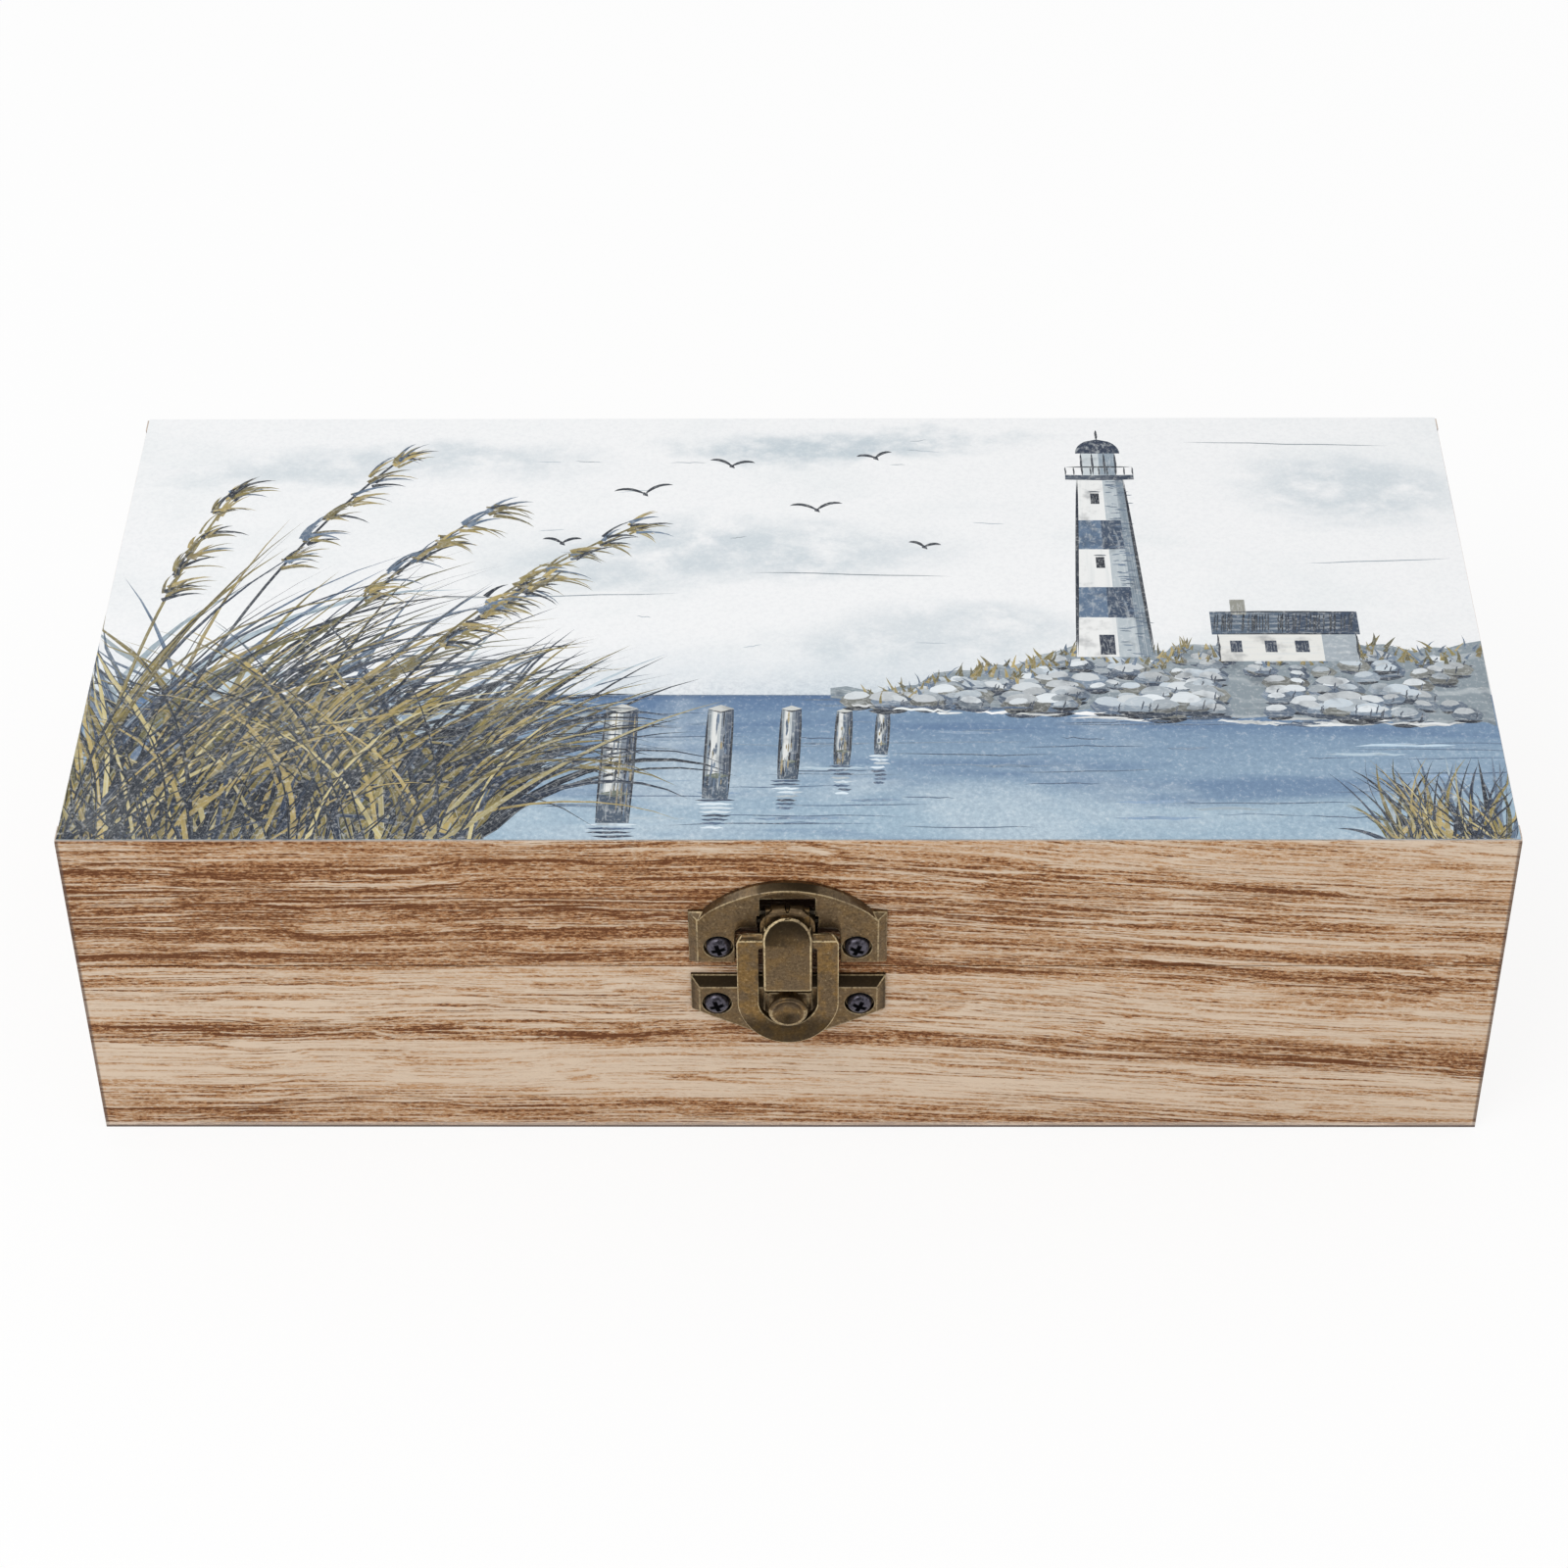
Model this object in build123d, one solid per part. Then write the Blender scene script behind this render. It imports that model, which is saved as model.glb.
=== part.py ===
"""Wooden keepsake box with a hinged lid, stop hinges and a duckbill latch.

Frame: origin under the middle of the box, X to the right, -Y to the front, +Z up, millimetres.
The latch is drawn in its own two views: the front view (X, height) and the side view
(out, height), where "out" is the distance in front of the box.
"""
import os
from math import cos, radians

from build123d import *

# ---------------------------------------------------------------- box
BOX_WIDTH = 200.0
BOX_DEPTH = 97.0
BOX_HEIGHT = 57.0
SEAM_HEIGHT = 33.0          # middle of the gap between base and lid
SEAM_GAP = 0.2
WALL = 7.0                  # thickness of the boards
CORNER_LAP = 4.0            # how far a side board runs into the front and back boards
PANEL = 3.0                 # thickness of the bottom and top panels
PANEL_REST = 3.5            # width of the rebate that a panel sits in
PANEL_CLEARANCE = 0.05      # round the edge of each panel
PRINT = 0.15                # thickness of the print
EDGE_ROUND = 0.7            # rounding of the outer edges

# ---------------------------------------------------------------- hinges
LID_OPEN = 100.0            # degrees at which the stop tails meet
HINGE_LENGTH = 22.0
HINGE_INSET = 38.0          # from the end of the box to the middle of a hinge
LEAF = 1.0                  # thickness of a leaf
LEAF_REACH = 5.2            # how far a leaf runs into the wood
BARREL_RADIUS = 1.6
BARREL_OFF = 0.1            # gap between barrel and wood
KNUCKLE_GAP = 0.15          # between neighbouring knuckles
PIN_RADIUS = 0.7
PIN_CLEARANCE = 0.04        # running fit, on the radius
TAIL = 0.9                  # thickness of a stop tail
TAIL_REACH = 4.0            # from the axis to the end of a tail
TAIL_PLAY = 1.0             # degrees left between the tails at full opening
HINGE_SCREW_SPACING = 12.0
HINGE_SCREW_INSET = 2.6     # from the back face to the screws

# ---------------------------------------------------------------- screws
SCREW_FIT = 0.04            # round the shank, on the radius
SMALL_RADIUS = 0.8
SMALL_LENGTH = 7.0
LATCH_SHANK = 1.0
LATCH_HEAD = 1.85           # radius at the foot of the head
LATCH_HEAD_TOP = 1.35       # radius at its top
LATCH_HEAD_HEIGHT = 0.9
LATCH_SCREW_LENGTH = 5.6
LATCH_RECESS_RADIUS = 2.08
LATCH_RECESS_FLOOR = 0.45   # plate left under the head
CROSS_LENGTH = 1.9
CROSS_WIDTH = 0.5
CROSS_DEPTH = 0.5

# ---------------------------------------------------------------- latch plates
PLATE_RISE = 1.4            # height of the raised face
PLATE_RIM = 0.5             # height of the plate at its outline
BEVEL = 1.2                 # width of the bevel between outline and face
LID_PLATE_HALF_WIDTH = 13.8
LID_PLATE_BOTTOM = 34.4
LID_PLATE_SHOULDER = 43.9
LID_PLATE_SHOULDER_WIDTH = 2.0
LID_PLATE_TOP = 49.5
LID_SCREW_X = 9.65
LID_SCREW_Z = 37.95
KEEPER_HALF_WIDTH = 13.7
KEEPER_TOP = 31.7
KEEPER_SIDE_BOTTOM = 25.1
KEEPER_KNEE_X = 11.4
KEEPER_KNEE_Z = 23.8
KEEPER_TIP_X = 3.2
KEEPER_TIP_Z = 19.6
KEEPER_SCREW_X = 10.05
KEEPER_SCREW_Z = 26.9

# ---------------------------------------------------------------- latch lever
PIVOT_OUT = 0.85            # lever pivot
PIVOT_Z = 42.7
RING_PIVOT_RISE = 1.9       # ring pivot above the lever pivot
RING_PIVOT_PAST = 0.4       # and past it, so that the closed lever stays shut
LATCH_PIN_RADIUS = 0.35
LEVER_BACK = 3.5            # back of the thumb plate
LEVER_THICK = 0.9
LEVER_BOTTOM = 32.2
THUMB_HALF_WIDTH = 3.65     # at the back of the thumb plate
THUMB_DRAFT = 11.0          # degrees by which its sides lean in towards the front
LEVER_HALF_WIDTH = 3.8      # over the cheeks
LEVER_SHOULDER_Z = 40.7     # where the face starts to lean back
CREST_OUT = 2.85
CREST_Z = 44.7
CAP_RADIUS = 1.05           # metal round the ring pivot
CAP_WALL = 0.3
CAP_CORNER = 2.8            # rounding of the cap, seen from the front
CHEEK = 0.7
CHEEK_BOTTOM = 41.7
CHEEK_RADIUS = 0.85         # metal round the lever pivot

# ---------------------------------------------------------------- latch ring
RING_BACK = 2.2
RING_THICK = 1.1
RING_HALF_WIDTH = 7.1
RING_BAR = 3.0
RING_TOP = 41.5
RING_TOP_BAR = 1.9
RING_TOP_SLOPE = 0.6        # how far the top face falls towards the front
RING_ARC_Z = 28.9           # centre of the round bottom
RING_SHOULDER_ROUND = 1.3
RING_FLARE = 0.9            # how far the bottom bar is bent out
RING_FLARE_START = 26.2
NECK_HALF_WIDTH = 3.0
NECK_RADIUS = 0.65
TOOTH_HALF_WIDTH = 2.1
TOOTH_THICK = 0.6
TOOTH_TOP = 25.5

# ---------------------------------------------------------------- keeper nub
NUB_HALF_WIDTH = 2.8
NUB_FRONT = 4.25
NUB_TIP_Z = 25.0
NUB_TOP_Z = 30.4
NUB_SEAT_GAP = 0.2          # over the tooth of the ring
NUB_THROAT = 0.85           # in front of the tooth of the ring
NUB_BASE_HALF_WIDTH = 3.35
NUB_BASE_OUT = 2.0
NUB_SCOOP_RADIUS = 1.9      # of the ball that scoops the nub
NUB_SCOOP_DEPTH = 0.9
NUB_SCOOP_RISE = 1.9        # of its middle above that of the round lip

NOTCH_CLEARANCE = 0.25      # round the ring and the lever in the lid plate
NOTCH_STEP_Z = 43.9
NOTCH_FLOOR_Z = 46.3        # above this the notch keeps a floor
NOTCH_FLOOR = 0.4
NOTCH_TOP_Z = 48.3
POCKET_CLEARANCE = 0.35     # round the lever's swing in the lid front board

# ---------------------------------------------------------------- worked out
FRONT = -BOX_DEPTH / 2
BACK = BOX_DEPTH / 2
BASE_TOP = SEAM_HEIGHT - SEAM_GAP / 2
LID_BOTTOM = SEAM_HEIGHT + SEAM_GAP / 2
WOOD_TOP = BOX_HEIGHT - PRINT
HINGE_Y = BACK + BARREL_OFF + BARREL_RADIUS
RING_PIVOT_OUT = PIVOT_OUT + RING_PIVOT_PAST
RING_PIVOT_Z = PIVOT_Z + RING_PIVOT_RISE
CAP_TOP = RING_PIVOT_Z + CAP_RADIUS
PIVOT_PIN_END = LEVER_HALF_WIDTH + 2.2
LEVER_FRONT = LEVER_BACK + LEVER_THICK
RING_FRONT = RING_BACK + RING_THICK

FRONT_VIEW = Plane(origin=(0, FRONT, 0), x_dir=(1, 0, 0), z_dir=(0, -1, 0))
SIDE_VIEW = Plane(origin=(0, FRONT, 0), x_dir=(0, -1, 0), z_dir=(-1, 0, 0))


def block(x0, x1, y0, y1, z0, z1):
    """A box between two corners."""
    return Pos((x0 + x1) / 2, (y0 + y1) / 2, (z0 + z1) / 2) * Box(x1 - x0, y1 - y0, z1 - z0)


def front_solid(sketch, out0, out1, taper=0.0):
    """Extrude a front-view sketch from one distance in front of the box to another."""
    placed = FRONT_VIEW * Pos(0, 0, out0) * sketch
    return extrude(placed, amount=out1 - out0, taper=taper)


def side_solid(sketch, half_width):
    """Extrude a side-view sketch to both sides of the middle."""
    return extrude(SIDE_VIEW * sketch, amount=half_width, both=True)


def cross_pin(out, z, radius, x0, x1):
    """A round pin along X, placed in the side view of the latch."""
    middle = Pos((x0 + x1) / 2, FRONT - out, z)
    return middle * Rot(0, 90, 0) * Cylinder(radius, abs(x1 - x0))


def polygon(*points):
    """A flat face from its corners."""
    return make_face(Polyline(*points, close=True))


def mirrored(*points):
    """The corners of a symmetrical outline, from those on its right side."""
    return list(points) + [(-x, z) for x, z in reversed(points)]


def edges_at(part, axis, place):
    """The edges of a part that lie wholly in one plane across an axis."""
    index = {Axis.X: 0, Axis.Y: 1, Axis.Z: 2}[axis]
    found = []
    for edge in part.edges():
        box = edge.bounding_box()
        low = tuple(box.min)[index]
        high = tuple(box.max)[index]
        if abs(low - place) < 1e-4 and abs(high - place) < 1e-4:
            found.append(edge)
    return found


# ---------------------------------------------------------------- boards
def long_board(side, z0, z1, rest_z0, rest_z1):
    """Front (side -1) or back (side +1) board, lapped for the side boards and rebated for a panel."""
    outer = side * BOX_DEPTH / 2
    inner = outer - side * WALL
    rest = inner + side * PANEL_REST
    lap = outer - side * (WALL - CORNER_LAP)
    board = block(-BOX_WIDTH / 2, BOX_WIDTH / 2, *sorted((outer, inner)), z0, z1)
    for end in (-1, 1):
        tip = end * BOX_WIDTH / 2
        board -= block(*sorted((tip, tip - end * WALL)), *sorted((inner, lap)), z0, z1)
    panel_x = BOX_WIDTH / 2 - WALL + PANEL_REST
    board -= block(-panel_x, panel_x, *sorted((inner, rest)), rest_z0, rest_z1)
    return round_board(board, Axis.Y, outer, z1)


def side_board(side, z0, z1, rest_z0, rest_z1):
    """Left (side -1) or right (side +1) board, which runs into the laps of the long boards."""
    outer = side * BOX_WIDTH / 2
    inner = outer - side * WALL
    rest = inner + side * PANEL_REST
    half = BOX_DEPTH / 2 - WALL + CORNER_LAP
    panel_y = BOX_DEPTH / 2 - WALL + PANEL_REST
    board = block(*sorted((outer, inner)), -half, half, z0, z1)
    board -= block(*sorted((inner, rest)), -panel_y, panel_y, rest_z0, rest_z1)
    return round_board(board, Axis.X, outer, z1)


def round_board(board, axis, outer, z1):
    """Round the outer top edge of a lid board."""
    if z1 < WOOD_TOP:
        return board
    face_edges = edges_at(board, axis, outer)
    top_edges = [edge for edge in edges_at(board, Axis.Z, z1) if edge in face_edges]
    return fillet(top_edges, EDGE_ROUND)


def panel(z0, z1):
    """A panel that fills the rebates of four boards."""
    half_x = BOX_WIDTH / 2 - WALL + PANEL_REST - PANEL_CLEARANCE
    half_y = BOX_DEPTH / 2 - WALL + PANEL_REST - PANEL_CLEARANCE
    return block(-half_x, half_x, -half_y, half_y, z0, z1)


def print_sheet():
    """The print, glued over boards and panel inside the rounded edges."""
    half_x = BOX_WIDTH / 2 - EDGE_ROUND
    half_y = BOX_DEPTH / 2 - EDGE_ROUND
    return block(-half_x, half_x, -half_y, half_y, WOOD_TOP, BOX_HEIGHT)


# ---------------------------------------------------------------- hinges
def knuckle_spans(leaf_side):
    """The stretches of the barrel, along X, that belong to a leaf: -1 the base's, +1 the lid's."""
    third = HINGE_LENGTH / 3
    gap = KNUCKLE_GAP / 2
    if leaf_side < 0:
        return [(-third / 2 + gap, third / 2 - gap)]
    return [(-HINGE_LENGTH / 2, -third / 2 - gap), (third / 2 + gap, HINGE_LENGTH / 2)]


def hinge_screw_places(x):
    return [x - HINGE_SCREW_SPACING / 2, x + HINGE_SCREW_SPACING / 2]


def leaf_mortise(x, leaf_side):
    """The seat of a leaf in the rim of its board."""
    seam = BASE_TOP if leaf_side < 0 else LID_BOTTOM
    z0, z1 = sorted((seam, seam + leaf_side * LEAF))
    half = HINGE_LENGTH / 2
    return block(x - half, x + half, BACK - LEAF_REACH, BACK + 1, z0, z1)


def barrel_slice(x0, x1, radius):
    middle = Pos((x0 + x1) / 2, HINGE_Y, SEAM_HEIGHT)
    return middle * Rot(0, 90, 0) * Cylinder(radius, x1 - x0)


def stop_tail(x0, x1, leaf_side, start):
    """A flat tail that leaves the barrel at the stop angle, on its own leaf's side."""
    angle = (LID_OPEN + TAIL_PLAY) / 2
    low, high = sorted((0.0, leaf_side * TAIL))
    flat = block(x0, x1, start, TAIL_REACH, low, high)
    return Pos(0, HINGE_Y, SEAM_HEIGHT) * Rot(leaf_side * angle, 0, 0) * flat


def hinge_leaf(x, leaf_side):
    """One leaf with its knuckles, its stop tail and its two screw holes."""
    seam = BASE_TOP if leaf_side < 0 else LID_BOTTOM
    z0, z1 = sorted((seam, seam + leaf_side * LEAF))
    half = HINGE_LENGTH / 2
    leaf = block(x - half, x + half, BACK - LEAF_REACH, BACK, z0, z1)
    for a, b in knuckle_spans(leaf_side):
        leaf += block(x + a, x + b, BACK - 1, HINGE_Y, z0, z1)
        leaf += barrel_slice(x + a, x + b, BARREL_RADIUS)
        leaf += stop_tail(x + a, x + b, leaf_side, PIN_RADIUS + PIN_CLEARANCE)
    leaf += stop_tail(x - half, x + half, leaf_side, BARREL_RADIUS + KNUCKLE_GAP)
    leaf -= barrel_slice(x - half - 1, x + half + 1, PIN_RADIUS + PIN_CLEARANCE)
    for place in hinge_screw_places(x):
        leaf -= small_screw(place, leaf_side, SCREW_FIT)
    return leaf


def hinge_pin(x):
    """A plain pin as long as the barrel."""
    return barrel_slice(x - HINGE_LENGTH / 2, x + HINGE_LENGTH / 2, PIN_RADIUS)


def small_screw(x, leaf_side, extra=0.0):
    """A hinge screw, upright in the rim and flush with its leaf; extra makes the hole for it."""
    seam = BASE_TOP if leaf_side < 0 else LID_BOTTOM
    length = SMALL_LENGTH + extra
    middle = seam + leaf_side * (length / 2)
    return Pos(x, BACK - HINGE_SCREW_INSET, middle) * Cylinder(SMALL_RADIUS + extra, length)


# ---------------------------------------------------------------- latch screws
def latch_screw(x, z, extra=0.0):
    """A cross-recess screw through a latch plate; extra makes the hole for its shank."""
    place = FRONT_VIEW * Pos(x, z, LATCH_RECESS_FLOOR)
    shank = Pos(0, 0, -LATCH_SCREW_LENGTH / 2) * Cylinder(LATCH_SHANK + extra, LATCH_SCREW_LENGTH + extra)
    if extra:
        return place * (shank + Cylinder(LATCH_SHANK + extra, 4))
    head = Pos(0, 0, LATCH_HEAD_HEIGHT / 2) * Cone(LATCH_HEAD, LATCH_HEAD_TOP, LATCH_HEAD_HEIGHT)
    cross = Box(CROSS_LENGTH, CROSS_WIDTH, CROSS_DEPTH * 2) + Box(CROSS_WIDTH, CROSS_LENGTH, CROSS_DEPTH * 2)
    return place * (shank + head - Pos(0, 0, LATCH_HEAD_HEIGHT) * cross)


def screw_seat(x, z):
    """The round recess for a screw head in a latch plate."""
    recess = front_solid(Pos(x, z) * Circle(LATCH_RECESS_RADIUS), LATCH_RECESS_FLOOR, PLATE_RISE + 1)
    return recess + latch_screw(x, z, SCREW_FIT)


# ---------------------------------------------------------------- latch plates
def bevelled_plate(outline, face):
    """A plate with an upright rim and a bevel all round up to its raised face."""
    rim = front_solid(outline, 0, PLATE_RIM)
    low = FRONT_VIEW * Pos(0, 0, PLATE_RIM) * outline
    high = FRONT_VIEW * Pos(0, 0, PLATE_RISE) * face
    return rim + loft([low.face(), high.face()], ruled=True)


def lid_plate_outline(inset):
    """Straight bottom and sides, two short shoulders and an arch between them."""
    side = LID_PLATE_HALF_WIDTH - inset
    bottom = LID_PLATE_BOTTOM + inset * 0.6
    shoulder = LID_PLATE_SHOULDER - inset * 0.6
    arch_x = LID_PLATE_HALF_WIDTH - LID_PLATE_SHOULDER_WIDTH + inset * 0.5
    top = LID_PLATE_TOP - inset * 0.25
    lines = Polyline((-arch_x, shoulder), (-side, shoulder), (-side, bottom),
                     (side, bottom), (side, shoulder), (arch_x, shoulder))
    arch = ThreePointArc((arch_x, shoulder), (0, top), (-arch_x, shoulder))
    return make_face([*lines.edges(), arch.edge()])


def tall_window(half_width, top, bottom):
    """An upright rectangle of the front view."""
    return Pos(0, (top + bottom) / 2) * Rectangle(2 * half_width, top - bottom)


def lid_plate_notch():
    """The stepped opening of the lid plate, clear of the ring and of the lever's swing."""
    bottom = LID_PLATE_BOTTOM - 1
    opening = tall_window(RING_HALF_WIDTH + NOTCH_CLEARANCE, RING_TOP + NOTCH_CLEARANCE, bottom)
    opening = fillet(opening.vertices().group_by(Axis.Y)[-1], RING_SHOULDER_ROUND)
    opening += tall_window(LEVER_HALF_WIDTH + NOTCH_CLEARANCE * 2, NOTCH_STEP_Z, bottom)
    return opening + tall_window(LEVER_HALF_WIDTH + 0.05, NOTCH_FLOOR_Z, bottom)


def lid_plate_recess():
    """The top of the notch, which keeps a floor and has an arched roof."""
    half = LEVER_HALF_WIDTH + 0.05
    eaves = NOTCH_TOP_Z - 0.9
    roof_line = Line((-half, eaves), (half, eaves))
    roof_arc = ThreePointArc((half, eaves), (0, NOTCH_TOP_Z), (-half, eaves))
    return tall_window(half, eaves, NOTCH_FLOOR_Z - 1) + make_face([roof_line.edge(), roof_arc.edge()])


def latch_lid_plate():
    plate = bevelled_plate(lid_plate_outline(0), lid_plate_outline(BEVEL))
    plate -= front_solid(lid_plate_notch(), -1, PLATE_RISE + 1)
    plate -= front_solid(lid_plate_recess(), NOTCH_FLOOR, PLATE_RISE + 1)
    for side in (-1, 1):
        plate -= screw_seat(side * LID_SCREW_X, LID_SCREW_Z)
        near = side * LEVER_HALF_WIDTH
        far = side * (PIVOT_PIN_END + PIN_CLEARANCE)
        plate -= cross_pin(PIVOT_OUT, PIVOT_Z, LATCH_PIN_RADIUS + PIN_CLEARANCE, near, far)
    return plate


def keeper_outline(inset):
    """Straight top and upper sides, then a taper to the tip under the ring."""
    side = KEEPER_HALF_WIDTH - inset
    top = KEEPER_TOP - inset * 0.5
    side_bottom = KEEPER_SIDE_BOTTOM + inset * 0.2
    knee = (KEEPER_KNEE_X - inset * 0.5, KEEPER_KNEE_Z + inset * 0.5)
    tip = (KEEPER_TIP_X - inset * 0.1, KEEPER_TIP_Z + inset * 0.8)
    return polygon(*mirrored((side, top), (side, side_bottom), knee, tip))


def keeper_nub():
    """The nub: a spoon with a round lip, under which the tooth of the ring is caught."""
    centre = NUB_TIP_Z + NUB_HALF_WIDTH
    outline = Pos(0, centre) * Circle(NUB_HALF_WIDTH)
    outline += tall_window(NUB_HALF_WIDTH, NUB_TOP_Z, centre)
    nub = front_solid(outline, PLATE_RIM, NUB_FRONT)
    seat = TOOTH_TOP + NUB_SEAT_GAP
    throat = RING_BACK + TOOTH_THICK + NUB_THROAT
    side = polygon(
        (PLATE_RIM, seat), (throat - 0.3, seat), (throat, seat - 0.3), (throat, NUB_TIP_Z - 0.1),
        (NUB_FRONT, NUB_TIP_Z - 0.1), (NUB_FRONT, NUB_TIP_Z + 3.4), (NUB_BASE_OUT + 0.6, NUB_TOP_Z),
        (PLATE_RIM, NUB_TOP_Z))
    nub = nub & side_solid(side, NUB_HALF_WIDTH + 1)
    scoop_y = FRONT - NUB_FRONT - NUB_SCOOP_RADIUS + NUB_SCOOP_DEPTH
    return nub - Pos(0, scoop_y, centre + NUB_SCOOP_RISE) * Sphere(NUB_SCOOP_RADIUS)


def keeper_plate():
    plate = bevelled_plate(keeper_outline(0), keeper_outline(BEVEL))
    for side in (-1, 1):
        plate -= screw_seat(side * KEEPER_SCREW_X, KEEPER_SCREW_Z)
    seat = TOOTH_TOP + NUB_SEAT_GAP
    plate += front_solid(tall_window(NUB_BASE_HALF_WIDTH, NUB_TOP_Z, seat), PLATE_RIM, NUB_BASE_OUT)
    return plate + keeper_nub()


# ---------------------------------------------------------------- lever and ring
def lever_side():
    """Side view of the lever: thumb plate, leaning top facet, cap and cheeks."""
    plate = polygon(
        (LEVER_BACK, LEVER_BOTTOM), (LEVER_FRONT, LEVER_BOTTOM), (LEVER_FRONT, LEVER_SHOULDER_Z),
        (CREST_OUT, CREST_Z), (RING_PIVOT_OUT + CAP_RADIUS * 0.6, RING_PIVOT_Z + CAP_RADIUS * 0.8),
        (RING_PIVOT_OUT - CAP_RADIUS, RING_PIVOT_Z), (PIVOT_OUT - CHEEK_RADIUS * 0.8, PIVOT_Z),
        (PIVOT_OUT, CHEEK_BOTTOM + 0.15), (LEVER_BACK, CHEEK_BOTTOM))
    plate += Pos(RING_PIVOT_OUT, RING_PIVOT_Z) * Circle(CAP_RADIUS)
    return plate + Pos(PIVOT_OUT, PIVOT_Z) * Circle(CHEEK_RADIUS)


def lever_hollow():
    """Side view of the space between the cheeks, where the neck of the ring turns."""
    room = CAP_RADIUS - CAP_WALL
    slant = room * cos(radians(45))
    hollow = polygon(
        (-2, LEVER_BOTTOM - 1), (LEVER_BACK, LEVER_BOTTOM - 1), (LEVER_BACK, LEVER_SHOULDER_Z),
        (CREST_OUT - CAP_WALL * 0.7, CREST_Z - CAP_WALL), (RING_PIVOT_OUT + slant, RING_PIVOT_Z + slant),
        (RING_PIVOT_OUT, RING_PIVOT_Z + room), (-2, RING_PIVOT_Z + room))
    return hollow + Pos(RING_PIVOT_OUT, RING_PIVOT_Z) * Circle(room)


def thumb_front():
    """Front view of the thumb plate: straight sides and a round top."""
    centre = CREST_Z + 0.1 - THUMB_HALF_WIDTH
    outline = tall_window(THUMB_HALF_WIDTH, centre, LEVER_BOTTOM - 1)
    return outline + Pos(0, centre) * Circle(THUMB_HALF_WIDTH)


def cap_front():
    """Front view of the cap and the cheeks: straight sides and round corners."""
    outline = tall_window(LEVER_HALF_WIDTH, CAP_TOP, CHEEK_BOTTOM - 1)
    return fillet(outline.vertices().group_by(Axis.Y)[-1], CAP_CORNER)


def latch_lever():
    join = CREST_OUT - 0.15
    thumb = front_solid(thumb_front(), RING_PIVOT_OUT, join)
    thumb += front_solid(thumb_front(), join, LEVER_FRONT + 0.1, taper=THUMB_DRAFT)
    cap = front_solid(cap_front(), -0.5, join - 0.4)
    lever = (thumb + cap) & side_solid(lever_side(), LEVER_HALF_WIDTH + 1)
    lever -= side_solid(lever_hollow(), LEVER_HALF_WIDTH - CHEEK)
    cleft = polygon((-0.5, CAP_TOP + 0.1), (0.5, CAP_TOP + 0.1), (0, CAP_TOP - 0.6))
    lever -= front_solid(cleft, -0.5, RING_PIVOT_OUT + 0.9)
    bore = LATCH_PIN_RADIUS + PIN_CLEARANCE
    end = LEVER_HALF_WIDTH + 1
    lever -= cross_pin(PIVOT_OUT, PIVOT_Z, bore, -end, end)
    lever -= cross_pin(RING_PIVOT_OUT, RING_PIVOT_Z, LATCH_PIN_RADIUS, -end, end)
    return lever


def ring_side():
    """Side view of the ring: a flat frame whose bottom bar is bent out a little."""
    bottom = RING_ARC_Z - RING_HALF_WIDTH
    start = RING_FLARE_START
    return polygon(
        (RING_BACK, RING_TOP), (RING_BACK, start), (RING_BACK + RING_FLARE, bottom - 0.1),
        (RING_FRONT + RING_FLARE, bottom - 0.1), (RING_FRONT, start),
        (RING_FRONT, RING_TOP - RING_TOP_SLOPE), (RING_BACK + 0.15, RING_TOP))


def ring_neck_side():
    """Side view of the neck between the top bar and the eye round the ring pin."""
    neck = polygon(
        (RING_BACK, RING_TOP - RING_TOP_BAR), (RING_FRONT, RING_TOP - RING_TOP_BAR),
        (RING_FRONT - 0.6, RING_TOP + 0.2), (RING_PIVOT_OUT + NECK_RADIUS, RING_PIVOT_Z),
        (RING_PIVOT_OUT - NECK_RADIUS * 0.7, RING_PIVOT_Z - NECK_RADIUS * 0.7))
    return neck + Pos(RING_PIVOT_OUT, RING_PIVOT_Z) * Circle(NECK_RADIUS)


def ring_outline(half_width, top, top_round, arc_radius):
    """Front view of a U: straight sides and top, round bottom."""
    outline = tall_window(half_width, top, RING_ARC_Z)
    outline = fillet(outline.vertices().group_by(Axis.Y)[-1], top_round)
    return outline + Pos(0, RING_ARC_Z) * Circle(arc_radius)


def latch_ring():
    inner = RING_HALF_WIDTH - RING_BAR
    outline = ring_outline(RING_HALF_WIDTH, RING_TOP, RING_SHOULDER_ROUND, RING_HALF_WIDTH)
    hole = ring_outline(inner, RING_TOP - RING_TOP_BAR, 0.4, inner)
    reach = RING_FRONT + RING_FLARE + 1
    ring = front_solid(outline - hole, 0, reach) & side_solid(ring_side(), RING_HALF_WIDTH + 1)
    tooth = tall_window(TOOTH_HALF_WIDTH, TOOTH_TOP, RING_ARC_Z - inner - 0.8)
    ring += front_solid(tooth, RING_BACK, RING_BACK + TOOTH_THICK)
    ring += side_solid(ring_neck_side(), NECK_HALF_WIDTH)
    bore = LATCH_PIN_RADIUS + PIN_CLEARANCE
    ring -= cross_pin(RING_PIVOT_OUT, RING_PIVOT_Z, bore, -NECK_HALF_WIDTH - 1, NECK_HALF_WIDTH + 1)
    return ring


def latch_pocket():
    """The mortise in the lid front board behind the swing of the lever and of the ring's neck."""
    reach = ((CREST_OUT - PIVOT_OUT) ** 2 + (CREST_Z - PIVOT_Z) ** 2) ** 0.5
    depth = reach - PIVOT_OUT + POCKET_CLEARANCE
    half = LEVER_HALF_WIDTH + POCKET_CLEARANCE
    low = RING_TOP - RING_TOP_BAR - POCKET_CLEARANCE
    high = PIVOT_Z + reach + POCKET_CLEARANCE
    return block(-half, half, FRONT - 1, FRONT + depth, low, high)


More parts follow.
